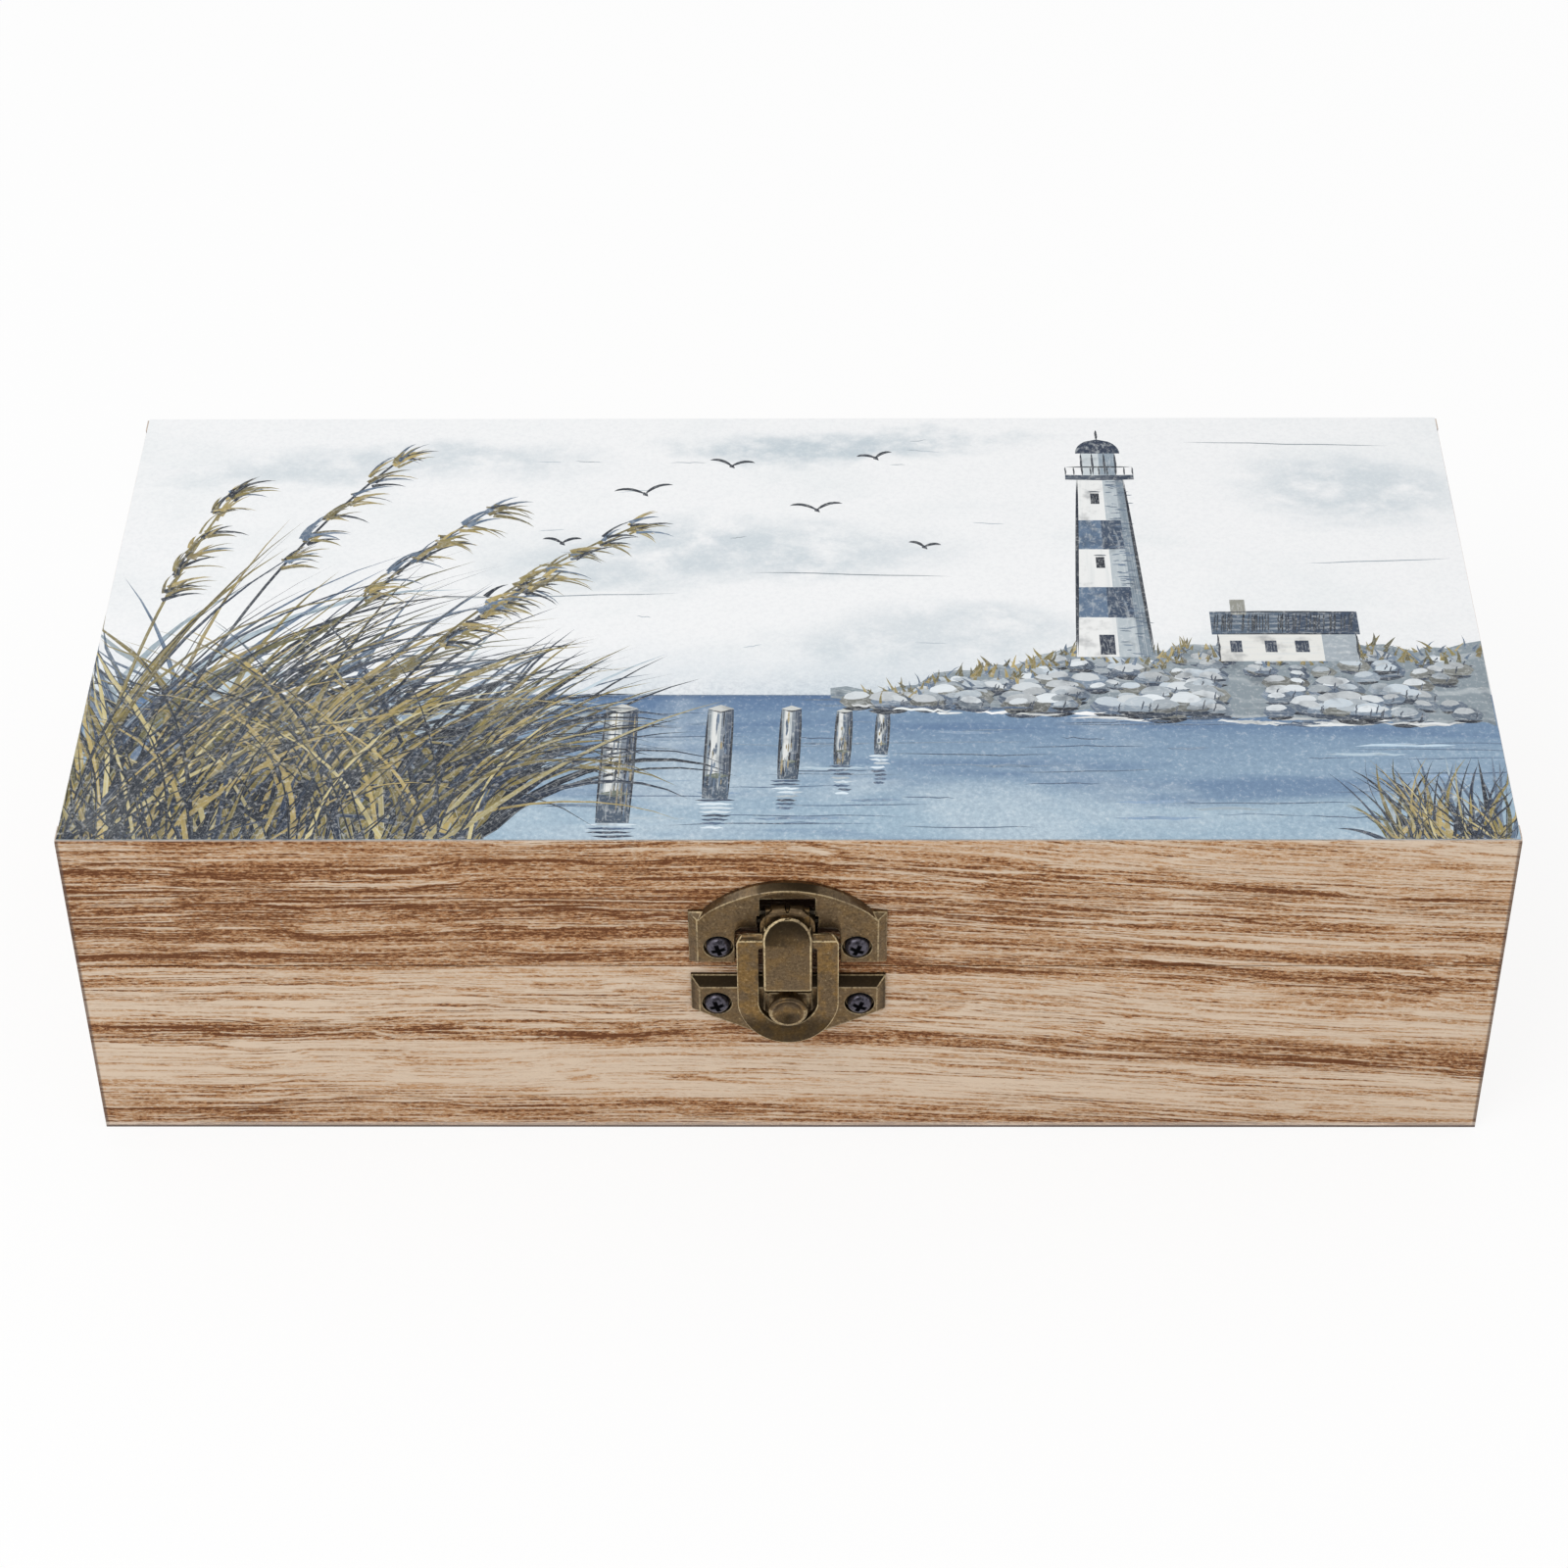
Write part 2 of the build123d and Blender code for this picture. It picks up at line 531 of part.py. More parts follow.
# ---------------------------------------------------------------- the pieces
def build():
    nodes = {}
    lid_rest = (WOOD_TOP - PANEL, WOOD_TOP)
    nodes["base_front_board"] = long_board(-1, 0, BASE_TOP, 0, PANEL)
    nodes["base_back_board"] = long_board(1, 0, BASE_TOP, 0, PANEL)
    nodes["base_left_board"] = side_board(-1, 0, BASE_TOP, 0, PANEL)
    nodes["base_right_board"] = side_board(1, 0, BASE_TOP, 0, PANEL)
    nodes["base_bottom_panel"] = panel(0, PANEL)
    nodes["lid_front_board"] = long_board(-1, LID_BOTTOM, WOOD_TOP, *lid_rest) - latch_pocket()
    nodes["lid_back_board"] = long_board(1, LID_BOTTOM, WOOD_TOP, *lid_rest)
    nodes["lid_left_board"] = side_board(-1, LID_BOTTOM, WOOD_TOP, *lid_rest)
    nodes["lid_right_board"] = side_board(1, LID_BOTTOM, WOOD_TOP, *lid_rest)
    nodes["lid_top_panel"] = panel(*lid_rest)
    nodes["lid_print"] = print_sheet()

    hinge_screws = {-1: [], 1: []}
    hinge_x = BOX_WIDTH / 2 - HINGE_INSET
    for name, x in (("left", -hinge_x), ("right", hinge_x)):
        for side, part, board in ((-1, "base", "base_back_board"), (1, "lid", "lid_back_board")):
            nodes[board] -= leaf_mortise(x, side)
            nodes[f"hinge_{name}_{part}_leaf"] = hinge_leaf(x, side)
            for place in hinge_screw_places(x):
                nodes[board] -= small_screw(place, side, SCREW_FIT)
                hinge_screws[side].append(small_screw(place, side))
        nodes[f"hinge_{name}_pin"] = hinge_pin(x)
    nodes["hinge_base_screws"] = Compound(children=hinge_screws[-1])
    nodes["hinge_lid_screws"] = Compound(children=hinge_screws[1])

    nodes["latch_lid_plate"] = latch_lid_plate()
    nodes["keeper_plate"] = keeper_plate()
    for name, board, x, z in (("latch_lid_screws", "lid_front_board", LID_SCREW_X, LID_SCREW_Z),
                              ("keeper_screws", "base_front_board", KEEPER_SCREW_X, KEEPER_SCREW_Z)):
        screws = []
        for side in (-1, 1):
            nodes[board] -= latch_screw(side * x, z, SCREW_FIT)
            screws.append(latch_screw(side * x, z))
        nodes[name] = Compound(children=screws)
    nodes["latch_lever"] = latch_lever()
    nodes["latch_ring"] = latch_ring()
    pin_start = LEVER_HALF_WIDTH - CHEEK
    nodes["latch_pivot_pins"] = Compound(children=[
        cross_pin(PIVOT_OUT, PIVOT_Z, LATCH_PIN_RADIUS, side * pin_start, side * PIVOT_PIN_END)
        for side in (-1, 1)])
    nodes["latch_ring_pin"] = cross_pin(
        RING_PIVOT_OUT, RING_PIVOT_Z, LATCH_PIN_RADIUS, -LEVER_HALF_WIDTH, LEVER_HALF_WIDTH)
    return nodes


os.makedirs("parts", exist_ok=True)
for node, shape in build().items():
    export_step(shape, f"parts/{node}.step")
    print(node, len(shape.solids()), round(sum(solid.volume for solid in shape.solids()), 1))
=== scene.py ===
"""Keepsake box: the finish of its boards, print, latch and hinges, and the studio it stands in."""

import math
import random

import bmesh
import bpy
from mathutils import Matrix, Vector


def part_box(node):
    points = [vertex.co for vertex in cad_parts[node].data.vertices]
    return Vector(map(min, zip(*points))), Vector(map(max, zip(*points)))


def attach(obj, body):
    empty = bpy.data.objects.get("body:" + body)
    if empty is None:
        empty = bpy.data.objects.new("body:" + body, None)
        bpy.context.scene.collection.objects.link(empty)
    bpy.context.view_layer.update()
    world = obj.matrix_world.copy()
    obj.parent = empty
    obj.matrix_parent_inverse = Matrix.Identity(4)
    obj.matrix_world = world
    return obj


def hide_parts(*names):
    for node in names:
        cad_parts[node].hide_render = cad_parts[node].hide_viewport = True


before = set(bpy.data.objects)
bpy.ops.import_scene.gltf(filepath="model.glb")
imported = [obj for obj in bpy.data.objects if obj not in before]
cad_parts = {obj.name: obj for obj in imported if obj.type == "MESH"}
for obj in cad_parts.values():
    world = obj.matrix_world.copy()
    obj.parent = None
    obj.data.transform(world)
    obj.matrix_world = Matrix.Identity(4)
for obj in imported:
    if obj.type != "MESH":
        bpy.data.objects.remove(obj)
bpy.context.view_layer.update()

bl_info = {
    "name": "Keepsake box",
    "version": (1, 0, 0),
    "blender": (4, 5, 0),
    "location": "View3D > Sidebar > Keepsake box",
    "description": "Dresses a wooden keepsake box with its printed lid, aged latch and hinges",
    "category": "Object",
}

MM = 0.001
WELD = 0.000001  # points nearer than this become one, in metres
FRONT_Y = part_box("base_front_board")[0][1]

# ---- boards
LONG_BOARDS = ("base_front_board", "base_back_board", "lid_front_board", "lid_back_board")
SIDE_BOARDS = ("base_left_board", "base_right_board", "lid_left_board", "lid_right_board")
PANELS = ("base_bottom_panel", "lid_top_panel")
GRAIN_START = (0.11, 0.05)  # where in the wood the boards are cut, across the grain, in metres
GRAIN_STEP = 0.37  # and how far apart along it
SEASONS = 270.0  # yearly rings in a metre of wood
# how dark the front wood is, by height from 0 at the bottom to 1 at FRONT_TONES_TOP
FRONT_TONES = ((0.0, 0.5), (0.1, 0.4), (0.16, 0.04), (0.27, 0.04), (0.3, 0.58), (0.34, 0.55), (0.38, 0.1),
               (0.54, 0.18), (0.57, 0.72), (0.6, 0.7), (0.62, 0.34), (0.65, 0.78), (0.68, 0.5), (0.76, 0.7),
               (0.81, 0.48), (0.87, 0.72), (0.92, 0.45), (0.96, 0.5))
FRONT_TONES_TOP = 0.06  # metres
GRAIN_FALL = 0.0075  # how far the front grain falls towards the right, in metres
# lines along the top and bottom edges of the boards, the sanded top edge, then a painted highlight and a painted
# shadow along the bottom: heights in millimetres that one fades over, strength, colour
EDGE_LINES = ((56.5, 56.7, 1.0, (214, 198, 184)), (1.2, 0.9, 0.6, (226, 212, 198)), (0.5, 0.35, 1.0, (122, 108, 100)))

# ---- latch and screws, in millimetres; distances "out" are measured forwards from the front of the box
# piece, the body it moves with, how far its edges are worn round and from what distance out, warmth,
# strength of the painted shade on its slopes
LATCH_EDGES = (("latch_lid_plate", "lid", 0.12, 0.2, 0.35, 0.35), ("keeper_plate", "base", 0.12, 0.2, 0.3, 0.85),
               ("latch_ring", "ring", 0.14, 2.1, 0.9, 0.7), ("latch_lever", "lever", 0.24, 2.6, 0.45, 0.8))
WORN_FROM = math.radians(26)  # edges that turn more than this are worn
WORN_LENGTH = 0.12  # and only those longer than this
ARCH_Z = 33.39  # middle of the arch on the lid plate
ARCH_FOOT = 11  # how far above that middle it begins
ARCH_RADIUS = 15.7  # just inside the edge of its flat face
ARCH_FACE = 1.39  # just behind that face
ARCH_SLOPE = 0.55  # how much broader the slope along the arch is made
ARCH_REACH = 11.2  # to this far from the middle
KEEPER_FACE = 1.3  # just behind the flat face of the keeper plate
KEEPER_STEP = -3.1  # just below the step in its outline, from ARCH_Z
KEEPER_SPLIT = -2.5  # between that step and the foot of the slope along its top
KEEPER_SLOPE_Z = 30.05  # where the foot of the slope comes to lie
KEEPER_STEP_Z = 29.55  # and where the step goes
NUB_STUB = 2.05  # how far the plain nub stands out, under its round dish
NUB_Z = 27.8
# profiles from the middle outwards: radius, distance out
NUB_PROFILE = ((0.0, 3.28), (0.6, 3.32), (1.15, 3.46), (1.6, 3.7), (1.95, 4.0), (2.2, 4.2), (2.42, 4.24),
               (2.64, 4.12), (2.78, 3.86), (2.78, 3.68), (2.25, 3.6), (2.15, 1.9), (0.0, 1.9))
# the dish's rim is worn bare only on its lower half, so the worn metal also stands as a painted highlight there
NUB_RIM = (2.2, 3.9, 0.6)  # the bare part of the dish: beyond a radius and out, up to this far over its middle
HEAD_PROFILE = ((0.0, 2.16), (0.5, 2.14), (0.95, 2.06), (1.3, 1.92), (1.56, 1.72), (1.7, 1.48), (1.74, 1.2),
                (1.74, 0.46), (0.9, 0.46), (0.9, -5.0), (0.0, -5.0))
FLAT_HEAD = ((0.0, 0.085), (0.9, 0.085), (1.3, 0.06), (1.5, 0.0), (0.8, -0.2), (0.8, -6.8), (0.0, -6.8))
HINGE_SHANK = 0.8  # radius of a hinge screw
FIRST_TURN = 18  # degrees that the cross of the first screw is turned
NEXT_TURN = 47  # and each next one more
BASE_LEAVES = ("hinge_left_base_leaf", "hinge_right_base_leaf")
LID_LEAVES = ("hinge_left_lid_leaf", "hinge_right_lid_leaf")
LATCH_SCREWS = ("latch_lid_screws", "keeper_screws")
SMALL_STEEL = ("hinge_left_pin", "hinge_right_pin", "latch_pivot_pins", "latch_ring_pin")
HINGE_SCREWS = ("hinge_base_screws", "hinge_lid_screws")

# ---- print, in millimetres from the middle of the lid
SHEET_HALF_X = 99.8
SHEET_HALF_Y = 48.3
PAINT_LAYER = 0.000004  # room for each layer of paint, in metres
PAINT_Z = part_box("lid_print")[1][2] - 28 * PAINT_LAYER
FIRST_SEED = 11  # each scene of the picture draws its strokes from the next seed
HORIZON = -18.0
# clouds: middle X and Y, half width, half height, strength
CLOUDS = ((-60, 36, 34, 6, 0.5), (6, 41, 30, 4, 0.75), (-8, 15, 36, 9, 0.6), (84, 30, 22, 12, 0.55),
          (24, -4, 26, 6, 0.45))
INK = (22, 30, 44)
NIGHT = (44, 56, 76)
SLATE = (92, 110, 132)
MIST = (158, 174, 184)
OLIVE = (128, 116, 68)
OCHRE = (164, 146, 92)
CHALK = (226, 230, 230)


# ---------------------------------------------------------------- sizes and colours
def linear(value):
    """A display value from 0 to 1 as the amount of light it stands for."""
    return value / 12.92 if value <= 0.04045 else ((value + 0.055) / 1.055) ** 2.4


def shade(red, green, blue):
    """A plain colour for a socket, from 0 to 255 values."""
    return (linear(red / 255), linear(green / 255), linear(blue / 255), 1.0)


def colour(name, description, default):
    """A colour setting, given as 0 to 255 red, green and blue as on a paint card."""
    return bpy.props.FloatVectorProperty(
        name=name, description=description, subtype="COLOR", size=4, min=0.0, max=1.0, default=shade(*default))


def number(name, description, default, **more):
    """A plain number, length, angle or power setting."""
    return bpy.props.FloatProperty(name=name, description=description, default=default, **more)


class WoodSettings(bpy.types.PropertyGroup):
    pale: colour("Pale wood", "Palest wood between the grain lines", (216, 195, 172))
    tan: colour("Tan wood", "Middle tone of the wood", (194, 152, 112))
    brown: colour("Brown grain", "Tone of the darker bands", (170, 117, 72))
    dark: colour("Dark grain", "Darkest lines of the grain", (104, 60, 28))
    depth: number("Grain depth", "Depth of the open grain", 0.00022, min=0.0, unit="LENGTH", precision=6)


class MetalSettings(bpy.types.PropertyGroup):
    face: colour("Bronze face", "Rubbed flat faces of the latch", (110, 91, 67))
    warm: colour("Bronze warm", "Yellow-brown patches of the latch", (136, 106, 62))
    # the patina colour is also painted as shade on the latch's slopes, near the wood and on the lower end of the ring
    patina: colour("Patina", "Dark colour left in the hollows", (40, 30, 15))
    worn: colour("Worn edge", "Bare metal along the edges", (214, 192, 148))
    screw: colour("Screw", "Darkened steel of the screws", (92, 89, 98))
    hinge: colour("Hinge brass", "Brass of the hinges", (206, 172, 108))
    wear_width: number("Wear width", "Width of the bare metal along an edge", 0.00022, min=0.0, unit="LENGTH",
                       precision=6)


class PrintSettings(bpy.types.PropertyGroup):
    paper: colour("Paper", "Unpainted paper of the sky", (246, 247, 248))
    cloud: colour("Cloud", "Wash of the clouds", (184, 199, 208))
    sea: colour("Sea", "Wash of the sea below the horizon", (104, 132, 166))


class StageSettings(bpy.types.PropertyGroup):
    camera_place: bpy.props.FloatVectorProperty(
        name="Camera place", description="Where the camera stands", subtype="TRANSLATION",
        default=(0.004713, -0.425748, 0.403866))
    pitch: number("Camera pitch", "How far the camera looks down", math.radians(41.745), subtype="ANGLE")
    yaw: number("Camera yaw", "Turn of the camera to the left", math.radians(0.7655), subtype="ANGLE")
    roll: number("Camera roll", "Tilt of the camera", math.radians(-0.5398), subtype="ANGLE")
    lens: number("Lens", "Focal length on a 36 mm wide sensor", 86.44, min=1.0)
    key_power: number("Key light", "Power of the large lamp", 2.2, min=0.0, unit="POWER")
    fill: number("Room light", "Strength of the even light of the room", 0.78, min=0.0)


# ---------------------------------------------------------------- node helpers
class Nodes:
    """A short way to write a node tree."""

    def __init__(self, tree):
        self.tree = tree

    def feed(self, sockets, values):
        """Give sockets, picked by name or number, a plain value or a link from another socket."""
        for name, value in values.items():
            if isinstance(value, bpy.types.NodeSocket):
                self.tree.links.new(value, sockets[name])
            else:
                sockets[name].default_value = value

    def add(self, kind, inputs=None, **settings):
        """A new node with its settings and inputs."""
        node = self.tree.nodes.new(kind)
        for name, value in settings.items():
            setattr(node, name, value)
        self.feed(node.inputs, inputs or {})
        return node

    def math(self, operation, first, second=0.0, clamp=False):
        """One step of arithmetic."""
        return self.add("ShaderNodeMath", {0: first, 1: second}, operation=operation, use_clamp=clamp).outputs[0]

    def times(self, first, *others):
        """The product of values."""
        for other in others:
            first = self.math("MULTIPLY", first, other)
        return first

    def most(self, first, *others):
        """The largest of values."""
        for other in others:
            first = self.math("MAXIMUM", first, other)
        return first

    def plus(self, first, second):
        return self.math("ADD", first, second)

    def size(self, value):
        """A value without its sign."""
        return self.math("ABSOLUTE", value)

    def total(self, *parts):
        """The sum of values, each times its share."""
        found = 0.0
        for value, share in parts:
            found = self.add("ShaderNodeMath", {0: value, 1: share, 2: found}, operation="MULTIPLY_ADD").outputs[0]
        return found

    def window(self, value, low, high, smooth=True):
        """0 below low and 1 above high; the other way round where low is above high."""
        turned = low > high
        return self.add(
            "ShaderNodeMapRange",
            {"Value": value, "From Min": min(low, high), "From Max": max(low, high),
             "To Min": 1.0 if turned else 0.0, "To Max": 0.0 if turned else 1.0},
            interpolation_type="SMOOTHSTEP" if smooth else "LINEAR", clamp=True).outputs[0]

    def inside(self, *limits):
        """1 where every value lies beyond its own limits, which are given in millimetres."""
        return self.times(*[self.window(value, low * MM, high * MM) for value, low, high in limits])

    def mix(self, factor, first, second):
        """The first colour at factor 0 and the second at 1."""
        return self.add("ShaderNodeMix", {0: factor, 6: first, 7: second},
                        data_type="RGBA", clamp_factor=True).outputs[2]

    def wash(self, base, *layers):
        """Colours laid over a base: colour, the value that rules it, its limits, and its strength."""
        for tint, value, low, high, strength in layers:
            mask = self.window(value, low, high)
            base = self.mix(mask if strength == 1.0 else self.times(mask, strength), base, tint)
        return base

    def spot(self):
        """The place of a point on its piece, in metres."""
        return self.add("ShaderNodeTexCoord").outputs["Object"]

    def normal(self):
        """The way the surface faces."""
        return self.add("ShaderNodeNewGeometry").outputs["Normal"]

    def join(self, x, y, z):
        return self.add("ShaderNodeCombineXYZ", {0: x, 1: y, 2: z}).outputs[0]

    def split(self, vector):
        return self.add("ShaderNodeSeparateXYZ", {0: vector}).outputs

    def moved(self, vector, x, y, z):
        """Coordinates shifted by values."""
        return self.add("ShaderNodeVectorMath", {0: vector, 1: self.join(x, y, z)}, operation="ADD").outputs[0]

    def stretch(self, vector, scale, start=(0, 0, 0)):
        """The coordinates scaled, and moved to another start."""
        return self.add("ShaderNodeMapping", {"Vector": vector, "Scale": scale, "Location": start}).outputs[0]

    def noise(self, vector, scale, detail=4.0, roughness=0.55, distortion=0.0, start=(0, 0, 0)):
        """Noise from 0 to 1; a scale of three numbers stretches it."""
        if isinstance(scale, tuple):
            vector, scale = self.stretch(vector, scale, start), 1.0
        return self.add("ShaderNodeTexNoise", {
            "Vector": vector, "Scale": scale, "Detail": detail, "Roughness": roughness,
            "Distortion": distortion}).outputs["Fac"]

    def about(self, value):
        """A noise value as a swing about 0."""
        return self.math("SUBTRACT", value, 0.5)

    def swing(self, *noise, **start):
        """Noise that swings about 0."""
        return self.about(self.noise(*noise, **start))

    def bump(self, height, strength, distance):
        return self.add("ShaderNodeBump", {"Height": height, "Strength": strength, "Distance": distance}).outputs[0]

    def group(self, name, inputs):
        """One of the shared effects, with its own values."""
        node = self.add("ShaderNodeGroup", node_tree=bpy.data.node_groups[name])
        self.feed(node.inputs, inputs)
        return node.outputs


def new_group(name, inputs, outputs):
    """An empty node group with named sockets, and its input and output nodes."""
    tree = bpy.data.node_groups.new(name, "ShaderNodeTree")
    for socket, kind, default in inputs:
        made = tree.interface.new_socket(socket, in_out="INPUT", socket_type="NodeSocket" + kind)
        if default is not None:
            made.default_value = default
    for socket, kind in outputs:
        tree.interface.new_socket(socket, in_out="OUTPUT", socket_type="NodeSocket" + kind)
    nodes = Nodes(tree)
    return nodes, nodes.add("NodeGroupInput").outputs, nodes.add("NodeGroupOutput").inputs


def cleared(owner):
    """The empty node tree of a material or a world."""
    owner.use_nodes = True
    owner.node_tree.nodes.clear()
    return Nodes(owner.node_tree)


def new_material(name):
    """A material with only its surface shader, and a helper to wire it."""
    material = bpy.data.materials.new(name)
    nodes = cleared(material)
    surface = nodes.add("ShaderNodeBsdfPrincipled")
    nodes.add("ShaderNodeOutputMaterial", {"Surface": surface.outputs[0]})
    return material, nodes, surface.inputs


# ---------------------------------------------------------------- shapes
def dress(names, material):
    """Give the named frame pieces one material."""
    for name in names:
        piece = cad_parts[name]
        piece.data.materials.clear()
        piece.data.materials.append(material)


def new_object(name, shape, *materials):
    """An object from a finished shape, in the scene."""
    mesh = bpy.data.meshes.new(name)
    shape.to_mesh(mesh)
    shape.free()
    for material in materials:
        mesh.materials.append(material)
    made = bpy.data.objects.new(name, mesh)
    bpy.context.collection.objects.link(made)
    return made


def add_piece(name, shape, body, slot, materials, sharp, *nodes):
    """Make a piece from a finished shape, give it its materials and let it move with a body."""
    piece = new_object(name, shape, *materials)
    piece.data.shade_smooth()
    piece.data.set_sharp_from_angle(angle=math.radians(sharp))
    if nodes:
        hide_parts(*nodes)
    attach(piece, body)
    return piece


def cut_nub(shape):
    """Cut the plain nub of the keeper plate off, where its round dish takes over."""
    cut = bmesh.ops.bisect_plane(
        shape, geom=[*shape.verts, *shape.edges, *shape.faces], dist=WELD,
        plane_co=(0, FRONT_Y - NUB_STUB * MM, 0), plane_no=(0, -1, 0), clear_outer=True)
    rim = [item for item in cut["geom_cut"] if isinstance(item, bmesh.types.BMEdge)]
    bmesh.ops.edgenet_fill(shape, edges=rim)


def broaden_slopes(name, shape):
    """Broaden the slope along the top of the keeper plate, or along the arch of the lid plate."""
    for vert in shape.verts:
        x, z, out = vert.co.x, vert.co.z - ARCH_Z * MM, FRONT_Y - vert.co.y
        radius = math.hypot(x, z)
        if name == "keeper_plate" and z > KEEPER_STEP * MM and out > KEEPER_FACE * MM:
            vert.co.z = (KEEPER_SLOPE_Z if z > KEEPER_SPLIT * MM else KEEPER_STEP_Z) * MM
        elif name == "latch_lid_plate" and z > ARCH_FOOT * MM and out > ARCH_FACE * MM and radius > ARCH_RADIUS * MM:
            inset = ARCH_SLOPE * MM * max(1 - (x / (ARCH_REACH * MM)) ** 4, 0)
            vert.co.x, vert.co.z = x * (1 - inset / radius), ARCH_Z * MM + z * (1 - inset / radius)


def worn_copy(name, body, width, front, bronze, bare):
    """A copy of a latch piece with its sharp edges worn round and bare, in place of the plain one."""
    shape = bmesh.new()
    shape.from_mesh(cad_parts[name].data)
    bmesh.ops.remove_doubles(shape, verts=shape.verts, dist=2 * WELD)
    if name == "keeper_plate":
        cut_nub(shape)
    bmesh.ops.dissolve_limit(shape, angle_limit=math.radians(1), verts=shape.verts, edges=shape.edges)
    broaden_slopes(name, shape)
    for face in shape.faces:
        face.material_index = 0
    edges = [edge for edge in shape.edges if edge.is_manifold and edge.calc_length() > WORN_LENGTH * MM
             and edge.calc_face_angle() > WORN_FROM
             and min(FRONT_Y - vert.co.y for vert in edge.verts) > front * MM]
    made = bmesh.ops.bevel(shape, geom=edges, offset=width, segments=3, profile=0.5, affect="EDGES",
                           clamp_overlap=False, material=-1)
    for face in made["faces"]:
        face.material_index = 1
    bmesh.ops.recalc_face_normals(shape, faces=shape.faces)
    return add_piece(name + "_worn", shape, body, "antique_bronze", (bronze, bare), 35, name)


def spun(shape, points, middle, axis, steps):
    """Spin a line of points round an axis into a closed skin."""
    verts = [shape.verts.new(point) for point in points]
    edges = [shape.edges.new(pair) for pair in zip(verts, verts[1:])]
    bmesh.ops.spin(shape, geom=verts + edges, cent=middle, axis=axis, angle=math.tau, steps=steps, use_merge=True)
    bmesh.ops.remove_doubles(shape, verts=shape.verts, dist=WELD)
    bmesh.ops.recalc_face_normals(shape, faces=shape.faces)


def turned(shape, profile, x, z, steps=40):
    """A turned piece that points forwards."""
    points = [((x + radius) * MM, FRONT_Y - out * MM, z * MM) for radius, out in profile]
    spun(shape, points, (x * MM, 0, z * MM), (0, 1, 0), steps)


def mark_heads(shape, places, upright):
    """Give every screw its own flat coordinates in millimetres, each turned a little differently."""
    layer = shape.loops.layers.uv.new("Head")
    for face in shape.faces:
        middle = face.calc_center_median() / MM
        number = min(range(len(places)), key=lambda item: abs(middle.x - places[item][0]))
        x, other = places[number]
        turn = math.radians(FIRST_TURN + NEXT_TURN * number)
        for loop in face.loops:
            along = loop.vert.co.x / MM - x
            above = (loop.vert.co.y if upright else loop.vert.co.z) / MM - other
            loop[layer].uv = (along * math.cos(turn) + above * math.sin(turn),
                              above * math.cos(turn) - along * math.sin(turn))


def latch_heads(name, body, material):
    """Round screw heads with a cross, one on each side, in place of the plain ones."""
    low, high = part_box(name)
    radius = (high[2] - low[2]) / 2 / MM
    x, z = high[0] / MM - radius, (low[2] + high[2]) / 2 / MM
    places = ((-x, z), (x, z))
    shape = bmesh.new()
    for place in places:
        turned(shape, HEAD_PROFILE, *place)
    mark_heads(shape, places, False)
    return add_piece(name + "_round", shape, body, "dark_steel", (material,), 40, name)


def hinge_heads(name, body, side, material):
    """Flat screw heads on the leaves of both hinges; side is 1 on top of the base and -1 under the lid."""
    low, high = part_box(name)
    y = (low[1] + high[1]) / 2 / MM
    face = (high[2] if side > 0 else low[2]) / MM
    shape = bmesh.new()
    places = []
    for leaf in BASE_LEAVES:
        start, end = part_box(leaf)
        middle = (start[0] + end[0]) / 2 / MM
        spread = abs((high[0] / MM - HINGE_SHANK if middle > 0 else low[0] / MM + HINGE_SHANK) - middle)
        places += [(middle - spread, y), (middle + spread, y)]
    for x, _ in places:
        points = [((x + radius) * MM, y * MM, (face + side * rise) * MM) for radius, rise in FLAT_HEAD]
        spun(shape, points, (x * MM, y * MM, 0), (0, 0, 1), 32)
    mark_heads(shape, places, True)
    return add_piece(name + "_flat", shape, body, "hinge_brass", (material,), 40, name)


# ---------------------------------------------------------------- shared effects
def edge_wear_group():
    """1 along the outer edges of a piece, broken up by a fine grain, and 0 on its faces."""
    nodes, given, out = new_group(
        "Edge wear",
        [("Width", "Float", 0.0002), ("Grain", "Float", 900.0), ("Break up", "Float", 0.5)],
        [("Mask", "Float")])
    rounded = nodes.add("ShaderNodeBevel", {"Radius": given["Width"]}, samples=6).outputs[0]
    across = nodes.add("ShaderNodeVectorMath", {0: rounded, 1: nodes.normal()}, operation="DOT_PRODUCT")
    turn = nodes.window(across.outputs["Value"], 0.995, 0.9)
    grain = nodes.noise(nodes.spot(), given["Grain"], 3.0)
    gone = nodes.times(nodes.window(grain, 0.6, 0.35), given["Break up"])
    nodes.feed(out, {"Mask": nodes.times(turn, nodes.math("SUBTRACT", 1.0, gone))})


